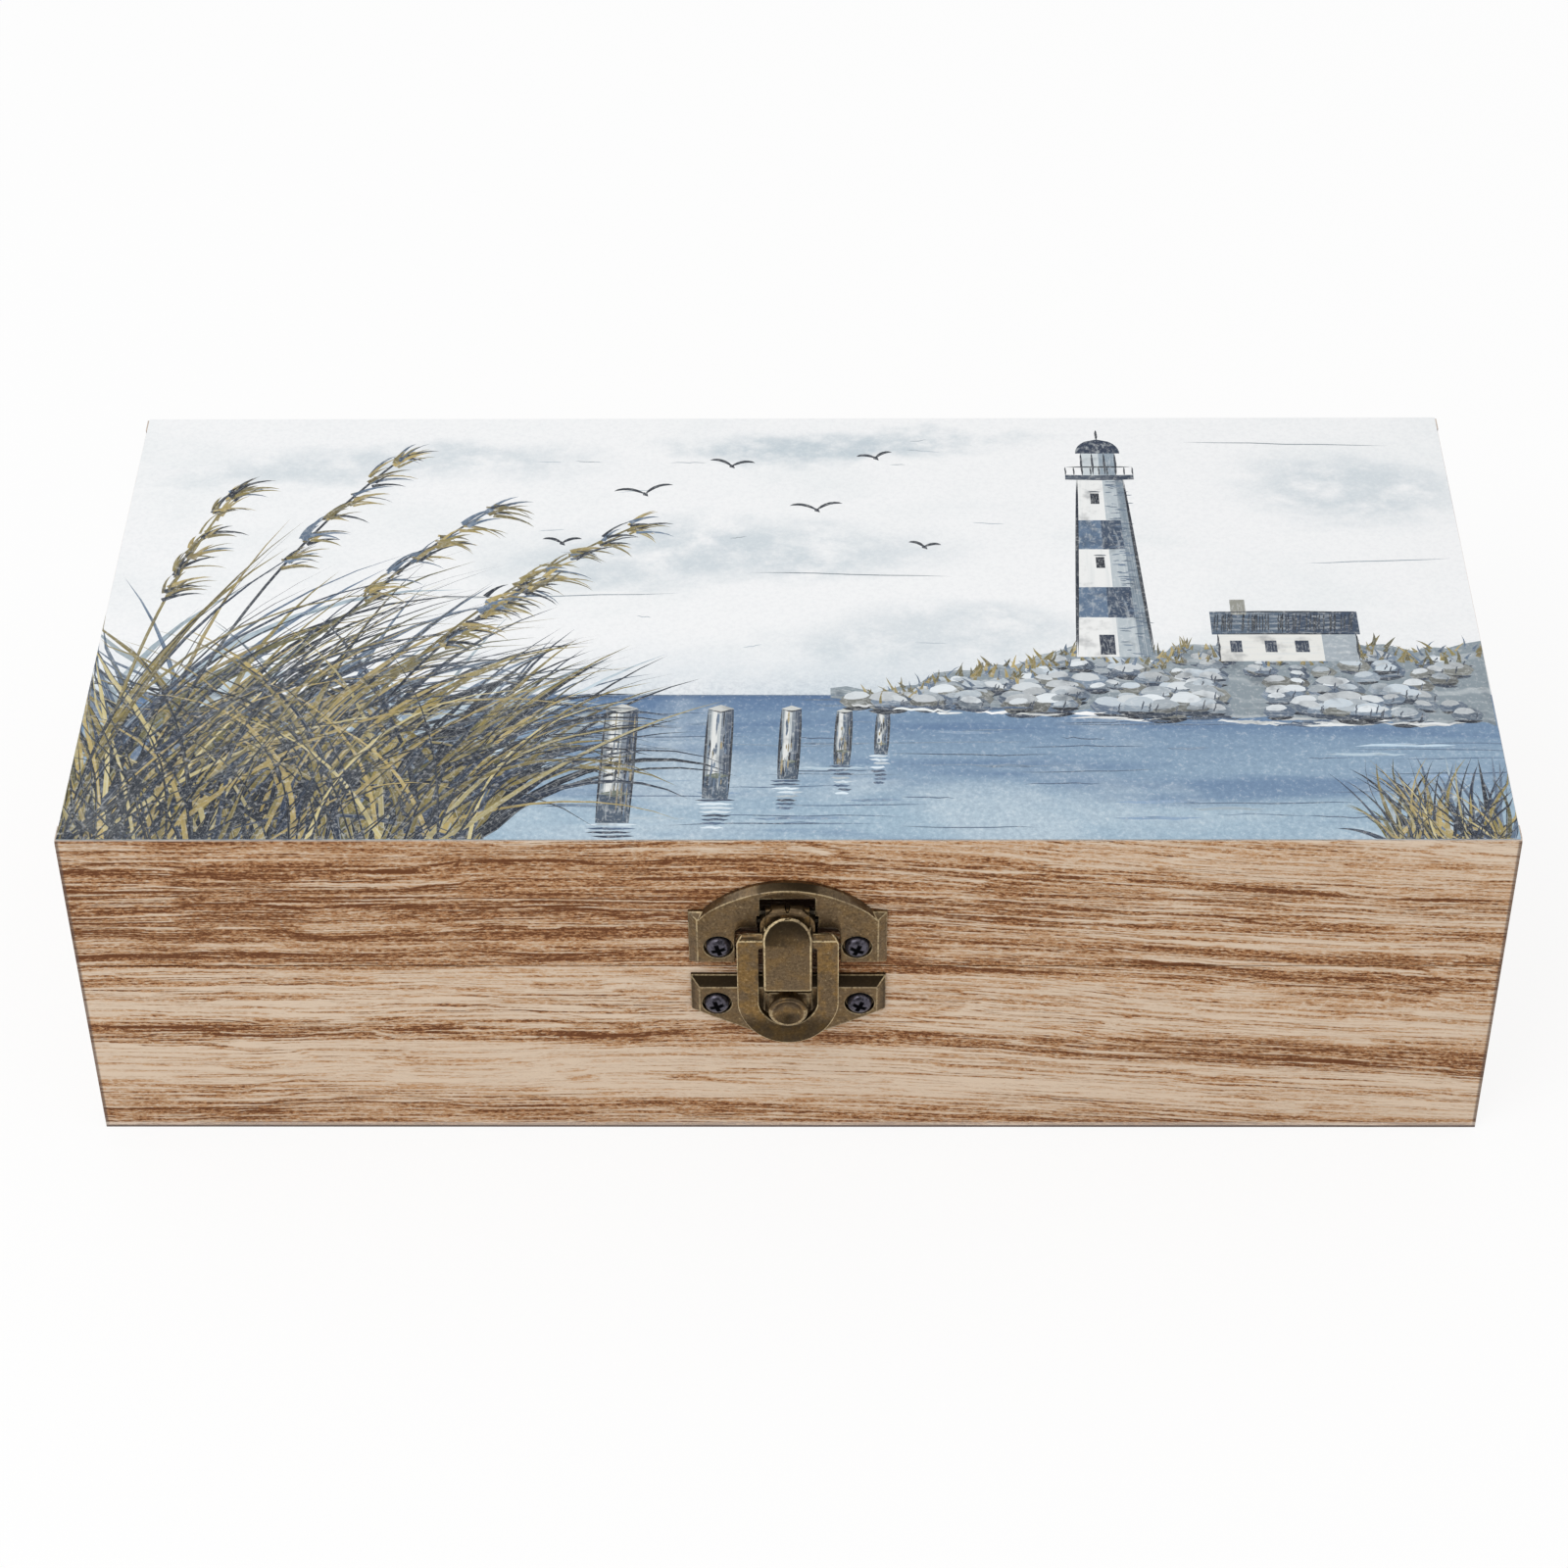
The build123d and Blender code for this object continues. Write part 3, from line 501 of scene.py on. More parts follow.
def wood_grain_group():
    """Grain that runs along X in long, slightly wandering lines: colour, height and roughness."""
    nodes, given, out = new_group(
        "Wood grain",
        [("Vector", "Vector", None), ("Tone", "Float", 0.4), ("Pale", "Color", None), ("Tan", "Color", None),
         ("Brown", "Color", None), ("Dark", "Color", None)],
        [("Color", "Color"), ("Height", "Float"), ("Roughness", "Float")])
    place, tone = given["Vector"], given["Tone"]
    sway = nodes.times(nodes.swing(place, (14, 40, 40), 2.0), 0.005)
    ripple = nodes.times(nodes.swing(place, (95, 300, 300), 2.0), 0.0009)
    wander = nodes.plus(sway, ripple)
    place = nodes.moved(place, 0.0, wander, wander)
    # the long marks: broad bands, lines, fine lines, dark threads that break off, and rings
    band = nodes.swing(place, (8, 300, 300), 3.0, 0.6)
    line = nodes.swing(place, (16, 1500, 1500), 3.0, 0.6)
    fine = nodes.swing(place, (48, 2900, 2900), 2.0, 0.6)
    thread = nodes.window(nodes.size(nodes.swing(place, (13, 520, 520), 2.0, start=(5, 2, 9))), 0.03, 0.004)
    broken = nodes.window(nodes.noise(place, (35, 160, 160), start=(1, 8, 3)), 0.38, 0.52)
    ring = nodes.window(nodes.size(nodes.swing(place, (3.5, 250, 250), 1.5, start=(2, 6, 4))), 0.035, 0.0)
    lines = nodes.total((line, 1.3), (fine, 3.7), (nodes.times(thread, broken), 0.7), (ring, 0.35))
    # they are strongest in dark wood, and come and go in patches
    calm = nodes.swing(place, (9, 110, 110), 2.0, start=(4, 4, 1))
    strength = nodes.total((nodes.window(tone, 0.1, 0.6), 0.4), (calm, 1.6), (1.0, 0.66))
    # every season darkens slowly and ends in a sharp line
    _, y, z = nodes.split(place)
    season = nodes.math("FRACT", nodes.total(
        (z, SEASONS), (y, SEASONS), (nodes.noise(place, (5, 120, 120), start=(7, 3, 2)), 3.0)))
    season = nodes.total((nodes.window(season, 0.35, 0.98), 0.3), (nodes.window(season, 0.84, 0.96), 0.35))
    season = nodes.times(season, nodes.window(tone, 0.05, 0.5))
    dark = nodes.total((tone, 1.0), (band, 0.6), (nodes.times(lines, strength), 1.0), (season, 1.0), (1.0, -0.04))
    # open pores, most of all in the dark grain
    pore = nodes.swing(place, (1300, 3900, 3900), 2.0, 0.7)
    busy = nodes.plus(0.9, nodes.times(nodes.window(dark, 0.1, 0.7), 2.6))
    dark = nodes.plus(dark, nodes.times(pore, busy))
    tint = nodes.wash(given["Pale"], (given["Tan"], dark, -0.1, 0.45, 1.0), (given["Brown"], dark, 0.4, 0.85, 1.0),
                      (given["Dark"], dark, 0.8, 1.25, 1.0))
    nodes.feed(out, {
        "Color": tint,
        "Height": nodes.times(nodes.window(dark, -0.2, 1.2, False), -1.0),
        "Roughness": nodes.plus(0.55, nodes.times(dark, 0.12))})


def board_edge_group():
    """The sanded top edge, a painted highlight and a painted shadow along the bottom, and painted shade down each
    corner.
    """
    nodes, given, out = new_group("Board edges", [("Color", "Color", None)], [("Color", "Color")])
    x, _, z = nodes.split(nodes.spot())
    outward = nodes.window(nodes.size(nodes.split(nodes.normal())[1]), 0.5, 0.8)
    # painted shade down each corner, on the faces that look out
    corner = nodes.times(nodes.inside((nodes.size(x), 99.4, 99.7)), outward, 0.75)
    tint = nodes.mix(corner, given["Color"], shade(96, 78, 70))
    for low, high, strength, line in EDGE_LINES:
        tint = nodes.wash(tint, (shade(*line), z, low * MM, high * MM, strength))
    nodes.feed(out, {"Color": tint})


# ---------------------------------------------------------------- materials
def front_tone(nodes, mapped, fall, x, z):
    """How dark the front wood is: bands that fall towards the right, weaker at the right of the lid."""
    level = nodes.math("DIVIDE", nodes.plus(z, fall), FRONT_TONES_TOP)
    wave = nodes.swing(mapped, (8, 1, 60), 2.0)
    ramp = nodes.add("ShaderNodeValToRGB", {"Fac": nodes.plus(level, nodes.times(wave, 0.14))})
    ramp.color_ramp.interpolation = "EASE"
    stops = ramp.color_ramp.elements
    stops[0].position, stops[1].position = FRONT_TONES[0][0], FRONT_TONES[-1][0]
    for height, _ in FRONT_TONES[1:-1]:
        stops.new(height)
    for stop, (_, value) in zip(stops, FRONT_TONES):
        stop.color = (value, value, value, 1)
    fade = nodes.times(nodes.window(x, -0.02, 0.06), nodes.window(z, 0.033, 0.036))
    return nodes.total((ramp.outputs[0], 1.0), (fade, -0.3), (1.0, -0.07))


def latch_shadow(nodes, x, y, z):
    """Painted shade on the wood behind the latch: in the pocket, under the lever and ring, and beside the notch."""
    beside, depth = nodes.size(x), nodes.math("SUBTRACT", y, FRONT_Y)
    pocket = nodes.inside((beside, 6.5, 5.5), (depth, 0.02, 0.3), (z, 51, 50), (z, 34, 36))
    # painted shade under the lever and ring
    under_latch_shade = nodes.inside((beside, 5.4, 4.4), (z, 30, 32), (z, 47.5, 46), (depth, 0.3, 0.1))
    notch = nodes.inside((beside, 7.5, 7.2), (z, 39, 40), (z, 43.9, 43.5))
    return nodes.most(nodes.times(pocket, 0.85), nodes.times(under_latch_shade, 0.7), nodes.times(notch, 0.8))


def wood_material(name, settings, turn, place, front):
    """Wood whose grain runs along X, or along Y where turned; the two front boards share one cut."""
    material, nodes, surface = new_material(name)
    spot = nodes.spot()
    mapped = nodes.add("ShaderNodeMapping", {"Vector": spot, "Rotation": (0, 0, turn), "Location": place}).outputs[0]
    if front:
        x, y, z = nodes.split(spot)
        fall = nodes.times(nodes.window(x, -0.02, 0.13), GRAIN_FALL)
        mapped = nodes.moved(mapped, 0.0, 0.0, fall)
        tone = front_tone(nodes, mapped, fall, x, z)
    else:
        tone = nodes.total((nodes.swing(mapped, (4, 90, 90), 2.0), 1.2), (1.0, 0.24))
    grain = nodes.group("Wood grain", {
        "Vector": mapped, "Tone": tone, "Pale": settings.pale, "Tan": settings.tan,
        "Brown": settings.brown, "Dark": settings.dark})
    tint = nodes.group("Board edges", {"Color": grain["Color"]})["Color"]
    # painted shade on the front wood behind and beside the latch
    if front:
        tint = nodes.mix(latch_shadow(nodes, x, y, z), tint, shade(34, 24, 15))
    nodes.feed(surface, {
        "Base Color": tint, "Roughness": grain["Roughness"], "Specular IOR Level": 0.3,
        "Normal": nodes.bump(grain["Height"], 1.0, settings.depth)})
    return material


def bronze_material(name, settings, warm, slope, bare=0.0, piece=""):
    """Aged bronze: rubbed faces, warm patches, patina, and painted shade on slopes and near the wood; bare is the
    shine of a worn edge.
    """
    material, nodes, surface = new_material(name)
    spot = nodes.spot()
    speckle = nodes.noise(spot, 2400.0, 4.0, 0.75)
    cloud = nodes.noise(spot, 420.0, 4.0, 0.65)
    scratch = nodes.noise(spot, (900, 900, 5200), 3.0, 0.6)
    base = nodes.wash(
        settings.face, (settings.warm, cloud, 0.42, 0.62, warm), (settings.patina, speckle, 0.44, 0.66, 0.45),
        (settings.worn, speckle, 0.42, 0.3, 0.35), (settings.patina, scratch, 0.58, 0.7, 0.25))
    x, y, z = nodes.split(spot)
    out = nodes.math("SUBTRACT", FRONT_Y, y)
    lean = nodes.split(nodes.normal())[2]
    # painted shade: on faces that lean, and on the parts nearest the wood
    sloped = nodes.times(nodes.window(lean, 0.12, 0.4), nodes.window(lean, 0.92, 0.75))
    dark = nodes.most(nodes.times(nodes.inside((out, 1.3, 0.4)), 0.75), nodes.times(sloped, slope))
    # painted shade over the lower end of the ring
    if piece == "latch_ring":
        dark = nodes.most(dark, nodes.times(nodes.inside((z, 27.0, 24.5)), 0.7))
    # on the lid plate the painted shade lies only on its slopes, and is darkest in the middle of the arch
    if piece == "latch_lid_plate":
        middle = nodes.inside((nodes.size(x), 5.5, 3.5))
        dark = nodes.most(nodes.times(sloped, slope), nodes.times(sloped, middle, 0.92))
    # the painted shade takes the colour of the patina
    base = nodes.mix(dark, base, settings.patina)
    # a painted highlight in the colour of worn metal along the lower front edge of the lever
    if piece == "latch_lever":
        tip = nodes.inside((z, 32.56, 32.44), (out, 4.0, 4.2))
        base = nodes.mix(nodes.times(tip, 0.85), base, settings.worn)
    if bare:
        patchy = nodes.total((nodes.window(nodes.noise(spot, 300.0, 2.0), 0.38, 0.58), 0.6 * bare), (1.0, 0.4 * bare))
        base = nodes.mix(nodes.times(nodes.window(speckle, 0.7, 0.45), patchy), base, settings.worn)
    spare = nodes.times(nodes.math("SUBTRACT", sloped, dark, clamp=True), 0.5)
    nodes.feed(surface, {
        "Base Color": base,
        "Metallic": nodes.math("SUBTRACT", 0.6 if bare else 0.9, spare),
        "Roughness": nodes.plus(0.22 if bare else 0.28, nodes.times(speckle, 0.2)),
        "Normal": nodes.bump(speckle, 0.4, 0.00005)})
    return material


def screw_material(name, tint, shadow):
    """Metal with painted shade, near black, in the cross in the middle of each head."""
    material, nodes, surface = new_material(name)
    speckle = nodes.noise(nodes.spot(), 2200.0, 4.0, 0.7)
    across, above, _ = nodes.split(nodes.add("ShaderNodeUVMap", uv_map="Head").outputs[0])
    across, above = nodes.size(across), nodes.size(above)
    cross = nodes.most(*[nodes.times(nodes.window(side, 0.36, 0.24), nodes.window(along, 1.15, 0.85))
                         for side, along in ((above, across), (across, above))])
    base = nodes.wash(tint, (shadow, speckle, 0.42, 0.68, 1.0))
    height = nodes.math("SUBTRACT", nodes.times(speckle, 0.12), cross)
    # the cross is painted near black without shine: painted shade in its recess
    nodes.feed(surface, {
        "Base Color": nodes.mix(cross, base, shade(9, 9, 11)),
        "Metallic": nodes.times(nodes.math("SUBTRACT", 1.0, cross), 0.85),
        "Roughness": nodes.plus(0.3, nodes.times(cross, 0.4)),
        "Specular IOR Level": 0.0,
        "Normal": nodes.bump(height, 0.8, 0.0003)})
    return material


def plain_metal(name, tint, roughness, settings):
    """Steel or brass with a fine speckle and brighter edges."""
    material, nodes, surface = new_material(name)
    speckle = nodes.noise(nodes.spot(), 1200.0, 4.0, 0.6)
    base = nodes.wash(tint, (nodes.mix(0.35, tint, (0.02, 0.015, 0.01, 1)), speckle, 0.4, 0.75, 1.0))
    edge = nodes.group("Edge wear", {"Width": settings.wear_width, "Grain": 900.0, "Break up": 0.5})["Mask"]
    nodes.feed(surface, {
        "Base Color": nodes.mix(nodes.times(edge, 0.5), base, nodes.mix(0.5, tint, settings.worn)),
        "Metallic": 0.9,
        "Roughness": nodes.plus(roughness, nodes.times(speckle, 0.15))})
    return material


def print_material(settings):
    """The washes of the print: a pale sky with soft clouds over a slate blue sea."""
    material, nodes, surface = new_material("Lid print")
    spot = nodes.spot()
    up = nodes.math("SUBTRACT", nodes.split(spot)[1], HORIZON * MM)
    drift = nodes.noise(spot, (22, 40, 1), 5.0, 0.62, 0.3)
    streak = nodes.noise(spot, (14, 150, 1), 4.0, 0.6, 0.3, (3, 2, 0))
    bleed = nodes.noise(spot, (120, 160, 1), 4.0, 0.65, start=(1, 5, 0))
    grain = nodes.noise(spot, 1500.0, 3.0, 0.75)
    # clouds with ragged outlines
    swerve = nodes.times(nodes.about(drift), 0.045)
    ragged = nodes.moved(spot, swerve, nodes.times(swerve, 0.5), 0.0)
    cloud = 0.0
    for x, y, half_width, half_height, strength in CLOUDS:
        near = nodes.stretch(ragged, (1 / (half_width * MM), 1 / (half_height * MM), 0.0),
                             (-x / half_width, -y / half_height, 0.0))
        far = nodes.add("ShaderNodeVectorMath", {0: near}, operation="LENGTH").outputs["Value"]
        cloud = nodes.most(cloud, nodes.times(nodes.window(far, 1.15, 0.35), strength))
    cloud = nodes.times(cloud, nodes.window(bleed, 0.25, 0.62))
    sky = nodes.wash(settings.paper, (shade(224, 231, 233), drift, 0.45, 0.7, 0.35))
    sky = nodes.mix(cloud, sky, settings.cloud)
    haze = nodes.times(nodes.inside((up, 15, -1)), nodes.window(drift, 0.3, 0.6), 0.6)
    sky = nodes.mix(haze, sky, shade(196, 210, 220))
    depth = nodes.window(nodes.plus(up, nodes.times(nodes.about(streak), 0.03)), -27 * MM, 0.0, False)
    sea = nodes.wash(
        nodes.mix(depth, shade(164, 188, 205), settings.sea), (shade(96, 124, 160), streak, 0.5, 0.68, 0.55),
        (shade(196, 211, 221), drift, 0.5, 0.36, 0.6), (shade(72, 98, 136), up, -1.6 * MM, -0.1 * MM, 0.5))
    base = nodes.mix(nodes.inside((up, 0.12, -0.12)), sky, sea)
    # the tooth of the paper, stronger in the sea
    speck = nodes.plus(0.05, nodes.times(nodes.inside((up, 6, -2)), 0.16))
    base = nodes.mix(nodes.times(nodes.window(grain, 0.42, 0.68), speck), base, shade(70, 92, 124))
    base = nodes.wash(base, (shade(250, 251, 251), grain, 0.46, 0.3, 0.2))
    nodes.feed(surface, {"Base Color": base, "Roughness": 0.6, "Specular IOR Level": 0.3})
    return material


def paint_material():
    """Brush and pencil strokes: their own tint, broken by the paper and darker where the paint pooled."""
    material, nodes, surface = new_material("Print paint")
    spot = nodes.spot()
    tint = nodes.add("ShaderNodeVertexColor", layer_name="Paint").outputs["Color"]
    grain = nodes.noise(spot, 1300.0, 3.0, 0.75)
    pool = nodes.noise(spot, 260.0, 3.0, 0.6)
    along, across, _ = nodes.split(nodes.add("ShaderNodeUVMap", uv_map="Stroke").outputs[0])
    bristle = nodes.noise(nodes.join(nodes.times(along, 3.0), nodes.times(across, 9.0),
                                     nodes.times(nodes.split(spot)[0], 40.0)), 1.0, 2.0)
    base = nodes.wash(
        tint, (shade(214, 220, 222), bristle, 0.5, 0.68, 0.4), (shade(40, 50, 66), pool, 0.5, 0.72, 0.4),
        (shade(236, 238, 238), grain, 0.5, 0.3, 0.3))
    nodes.feed(surface, {"Base Color": base, "Roughness": 0.6, "Specular IOR Level": 0.3})
    return material


# ---------------------------------------------------------------- the picture on the print
def between(low, high, value):
    """The value, kept between two limits."""
    return max(low, min(high, value))


def shares(steps):
    """The shares of a length from 0 to 1, in equal steps."""
    return [step / steps for step in range(steps + 1)]


def taper(width):
    """Full at the root and pointed at the tip."""
    return lambda share: width * max(1 - share, 0.0) ** 0.75


def lens(width):
    """Pointed at both ends."""
    return lambda share: width * max(math.sin(math.pi * share), 0.0) ** 0.5


def even(width, end=None):
    """The same width all along, or changing evenly to another."""
    return lambda share: width + ((width if end is None else end) - width) * share


class Painter:
    """Flat strokes of paint, laid one over another on the print. All sizes are in millimetres."""

    def __init__(self, seed):
        self.shape = bmesh.new()
        self.along = self.shape.loops.layers.uv.new("Stroke")
        self.paint = self.shape.loops.layers.float_color.new("Paint")
        self.chance = random.Random(seed)

    def stroke(self, points, width, tint, layer):
        """One stroke through the points; its width is a function of the share of its length."""
        steps = len(points) - 1
        level = PAINT_Z + (layer + 0.9 * self.chance.random()) * PAINT_LAYER
        made = bmesh.ops.create_grid(self.shape, x_segments=steps, y_segments=1, size=1.0)["verts"]
        where = {}
        for vert in made:
            share = (vert.co.x + 1) / 2
            place = round(share * steps)
            where[vert] = (share, (vert.co.y + 1) / 2)
            x0, y0 = points[max(place - 1, 0)]
            x1, y1 = points[min(place + 1, steps)]
            length = math.hypot(x1 - x0, y1 - y0) or 1.0
            half = vert.co.y * width(share) / 2
            x = between(-SHEET_HALF_X, SHEET_HALF_X, points[place][0] - (y1 - y0) / length * half)
            y = between(-SHEET_HALF_Y, SHEET_HALF_Y, points[place][1] + (x1 - x0) / length * half)
            vert.co = Vector((x * MM, y * MM, level))
        paint = shade(*tint)
        for face in {face for vert in made for face in vert.link_faces}:
            for loop in face.loops:
                loop[self.along].uv = where[loop.vert]
                loop[self.paint] = paint

    def bar(self, start, end, width, tint, layer):
        """A straight bar of one width."""
        self.stroke([start, end], even(width), tint, layer)

    def pick(self, *tints):
        """One of the tints, made a little lighter or darker."""
        change = self.chance.uniform(0.86, 1.14)
        return [min(255, value * change) for value in self.chance.choice(tints)]

    def bent(self, start, heading, length, bend, steps=9):
        """Points of a blade that sets off at a heading and bends more and more."""
        x, y = start
        points = [(x, y)]
        for step in range(steps):
            turn = math.radians(heading + bend * ((step + 0.5) / steps) ** 1.5)
            x += math.cos(turn) * length / steps
            y += math.sin(turn) * length / steps
            points.append((x, y))
        return points

    def line(self, start, end, wobble=0.15, steps=6):
        """Points of a hand-drawn line."""
        return [tuple(first + (last - first) * share + self.chance.uniform(-wobble, wobble)
                      for first, last in zip(start, end)) for share in shares(steps)]

    def blot(self, x, y, length, height, tint, layer, bow=0.0, tilt=0.0):
        """A rounded patch of paint, bowed upwards in the middle."""
        points = []
        for step in range(9):
            along = step / 4 - 1
            points.append((x + along * length / 2 + self.chance.uniform(-0.08, 0.08),
                           y + along * tilt + bow * (1 - along * along) + self.chance.uniform(-0.06, 0.06)))
        self.stroke(points, lens(height), tint, layer)

    def pencil(self, start, end, wobble=0.12, width=0.26, layer=24, tint=(58, 68, 84)):
        """A pencilled line."""
        self.stroke(self.line(start, end, wobble), lens(width), self.pick(tint), layer)

    def finish(self, name, material):
        """Turn the strokes into a piece."""
        piece = new_object(name, self.shape, material)
        piece.visible_shadow = False
        piece.visible_diffuse = False
        return piece


def paint_sea(art):
    """Pencilled ripples and a few flat brush marks."""
    chance, spread = art.chance, art.chance.uniform
    for _ in range(70):
        y = HORIZON - 0.8 - 27 * chance.random() ** 1.3
        x = spread(-98, 90)
        length = spread(5, 30)
        tint = art.pick((96, 118, 144), (74, 94, 120), (124, 146, 168))
        ripple = art.line((x, y), (x + length, y + spread(-0.5, 0.5)), 0.2)
        art.stroke(ripple, lens(0.24), tint, chance.randrange(3))
    for _ in range(22):
        y = HORIZON - 3 - 24 * chance.random()
        x = spread(-60, 90)
        tint = art.pick((176, 196, 210), (128, 152, 178))
        art.stroke(art.line((x, y), (x + spread(6, 16), y), 0.2), lens(0.6), tint, chance.randrange(3))
    art.pencil((-99, HORIZON + 0.1), (20, HORIZON), 0.06, 0.3, 3, SLATE)


def shore_top(x):
    """Height of the headland's skyline."""
    rise = between(0.0, 1.0, (x - 8) / 40)
    return HORIZON + 1.2 + 9.5 * rise * rise * (3 - 2 * rise) + 0.8 * math.sin(x * 0.33) + 0.5 * math.sin(x * 0.9)


def shore_foot(share, drop):
    """Height of the waterline at a share of the headland's length, and a drop below it."""
    return HORIZON - drop - 5.5 * max(0.0, share) ** 0.8


def paint_headland(art):
    """A low rocky headland with grass on top, running off the right side."""
    chance, spread = art.chance, art.chance.uniform
    steps = 46
    spine, widths = [], []
    for share in shares(steps):
        x = 6 + (SHEET_HALF_X - 6) * share
        low = shore_foot(share, 1.0) - 0.5 * math.sin(x * 0.7)
        spine.append((x, (shore_top(x) + low) / 2))
        widths.append(shore_top(x) - low)
    art.stroke(spine, lambda share: widths[round(share * steps)], (140, 152, 160), 3)
    # six rows of boulders, each with a lit top, a dark foot and often a crack
    for row in range(6):
        layer = 3 + 2 * row
        for _ in range(34):
            x = spread(10, 98)
            top, low = shore_top(x) - 2.2, shore_foot((x - 6) / 93, 0.8)
            y = top + (low - top) * (row + chance.random() * 0.7) / 6
            size = spread(1.6, 3.4) * (0.7 + 0.08 * row)
            body = art.pick((112, 126, 142), (92, 106, 124), (134, 146, 158), (118, 120, 116))
            lift = spread(-0.35, 0.35)
            art.blot(x, y, size * 2, size * 1.3, body, layer, 0.0, lift)
            art.blot(x - size * 0.15, y + size * 0.26, size * 1.3, size * 0.6,
                     art.pick((206, 212, 216), (180, 190, 198)), layer + 1, size * 0.12, lift)
            art.blot(x, y - size * 0.52, size * 1.7, size * 0.3, art.pick(INK, (52, 64, 82)), layer + 1,
                     -size * 0.1, lift)
            if chance.random() < 0.6:
                side = spread(0.1, 0.8) * size
                art.pencil((x + side, y + size * 0.3), (x + side - 0.5, y - size * 0.4), 0.1, 0.24, layer + 2)
    # grass, then foam along the water
    for _ in range(330):
        x = spread(10, 99)
        y = shore_top(x) - spread(0.2, 4.0)
        tint = art.pick(OLIVE, OLIVE, OCHRE, (96, 92, 66), SLATE)
        points = art.bent((x, y), spread(55, 125), spread(1.2, 3.4), spread(-35, 35), 3)
        art.stroke(points, taper(spread(0.3, 0.8)), tint, chance.randrange(5, 15))
    for _ in range(46):
        x = spread(4, 92)
        y = shore_foot((x - 6) / 93, 1.2) - spread(0, 1.6)
        tint = art.pick(CHALK, (238, 241, 242), (70, 88, 112))
        art.stroke(art.line((x, y), (x + spread(3, 10), y), 0.25), lens(0.5), tint, chance.randrange(12, 16))


def paint_lighthouse(art):
    """A banded lighthouse with its gallery and lantern."""
    spread = art.chance.uniform
    x, foot, top = 47.0, shore_top(47.0) - 2.0, 33.0

    def half(y):
        """Half the tower's width at a height."""
        return 5.6 - 2.1 * (y - foot) / (top - foot)

    def flank(share, y0=foot, y1=top, steps=10):
        """Points up the tower at a share of its half width from the middle."""
        heights = [y0 + (y1 - y0) * step / steps for step in range(steps + 1)]
        return [(x + share * half(y), y) for y in heights]

    art.stroke(flank(0), even(2 * half(foot), 2 * half(top)), (240, 241, 240), 16)
    for low, high in ((foot + 9, foot + 16), (foot + 25, foot + 32)):
        for share, wide, tint, layer in ((0, 2, (98, 120, 146), 17), (0.45, 1.1, (62, 78, 100), 19)):
            art.stroke(flank(share, low, high, 4), even(wide * half(low), wide * half(high)), tint, layer)
    art.stroke(flank(0.55), even(5.0, 3.1), (186, 196, 202), 18)
    art.stroke(flank(0.82), even(2.0, 1.2), (132, 146, 158), 20)
    for _ in range(90):
        y = spread(foot, top - 1)
        start = x + half(y) * spread(0.1, 0.75)
        art.pencil((start, y), (start + spread(0.8, 2.4), y + spread(-0.3, 0.2)), 0.05, 0.22, 21,
                   SLATE)
    for side in (-1.0, -0.96, 0.98, 1.02):
        art.stroke(flank(side), lens(0.34), art.pick(INK), 22)
    for y in (foot + 20.5, foot + 36.0):    # windows
        art.bar((x - 1, y), (x - 1, y + 2.6), 1.3, INK, 22)
        art.pencil((x - 2, y + 3), (x, y + 3), 0.05, 0.3, 23)
    art.stroke([(x - 1, foot + 0.5), (x - 1, foot + 3), (x - 1, foot + 5)], even(2.2), (52, 60, 76), 22)
    # gallery with its rail
    art.stroke([(x - 5.2, top), (x, top - 0.15), (x + 5.2, top)], even(1.2), (58, 70, 88), 23)
    art.pencil((x - 5.2, top + 2.6), (x + 5.2, top + 2.6), 0.05, 0.34, 24, INK)
    for post in range(9):
        place = x - 5.1 + post * 1.275
        art.pencil((place, top + 0.4), (place, top + 2.6), 0.03, 0.24, 24, INK)
    # lantern with its dome and spike
    art.bar((x, top + 0.5), (x, top + 6.2), 5.2, (206, 214, 218), 21)
    art.bar((x + 1.3, top + 0.5), (x + 1.3, top + 6.2), 2.4, (146, 160, 172), 22)
    for place in (-2.6, -0.9, 0.9, 2.6):
        art.pencil((x + place, top + 0.5), (x + place, top + 6.2), 0.03, 0.34, 23, INK)
    art.stroke([(x, top + 6.0 + 0.6 * step) for step in range(7)],
               lambda share: 6.8 * math.sqrt(max(1 - share * share, 0.0)), NIGHT, 24)
    art.pencil((x, top + 9.4), (x, top + 12), 0.03, 0.4, 25, INK)


def paint_cottage(art):
    """A keeper's cottage beside the tower."""
    spread = art.chance.uniform
    x, foot = 70.0, shore_top(74.0) - 2.5

    def at(along, height):
        """A point on the cottage, from the foot of its wall."""
        return x + along, foot + height

    # wall, its shaded end, roof, its shaded side
    for start, end, height, width, tint, layer in (
            (-8, 12, 3.2, 6.4, (234, 234, 230), 16), (7, 12, 3.4, 6.8, (168, 178, 186), 17),
            (-8.8, 12.6, 8.6, 5.2, (88, 104, 122), 18), (2, 12.6, 8.6, 5.2, (66, 80, 100), 19)):
        art.bar(at(start, height), at(end, height), width, tint, layer)
    for _ in range(46):
        start = x + spread(-8.6, 12)
        art.pencil((start, foot + 6.4), (start + 0.5, foot + 11), 0.08, 0.22, 20, INK)
    for place, width in ((-5.5, 1.7), (-0.5, 1.7), (4.0, 2.0)):     # windows and door
        art.bar(at(place, 2.0), at(place, 4.6), width, (56, 66, 84), 20)
    art.bar(at(-4.6, 10.5), at(-4.6, 14), 2.2, (150, 150, 142), 19)
    for start, end in (((-8.8, 6.1), (12.6, 6.1)), ((-8.8, 11.2), (12.6, 11.2)),
                       ((-8, 0), (-8, 6.4)), ((12, 0), (12, 6.4))):
        art.pencil(at(*start), at(*end), 0.1, 0.32, 22, INK)


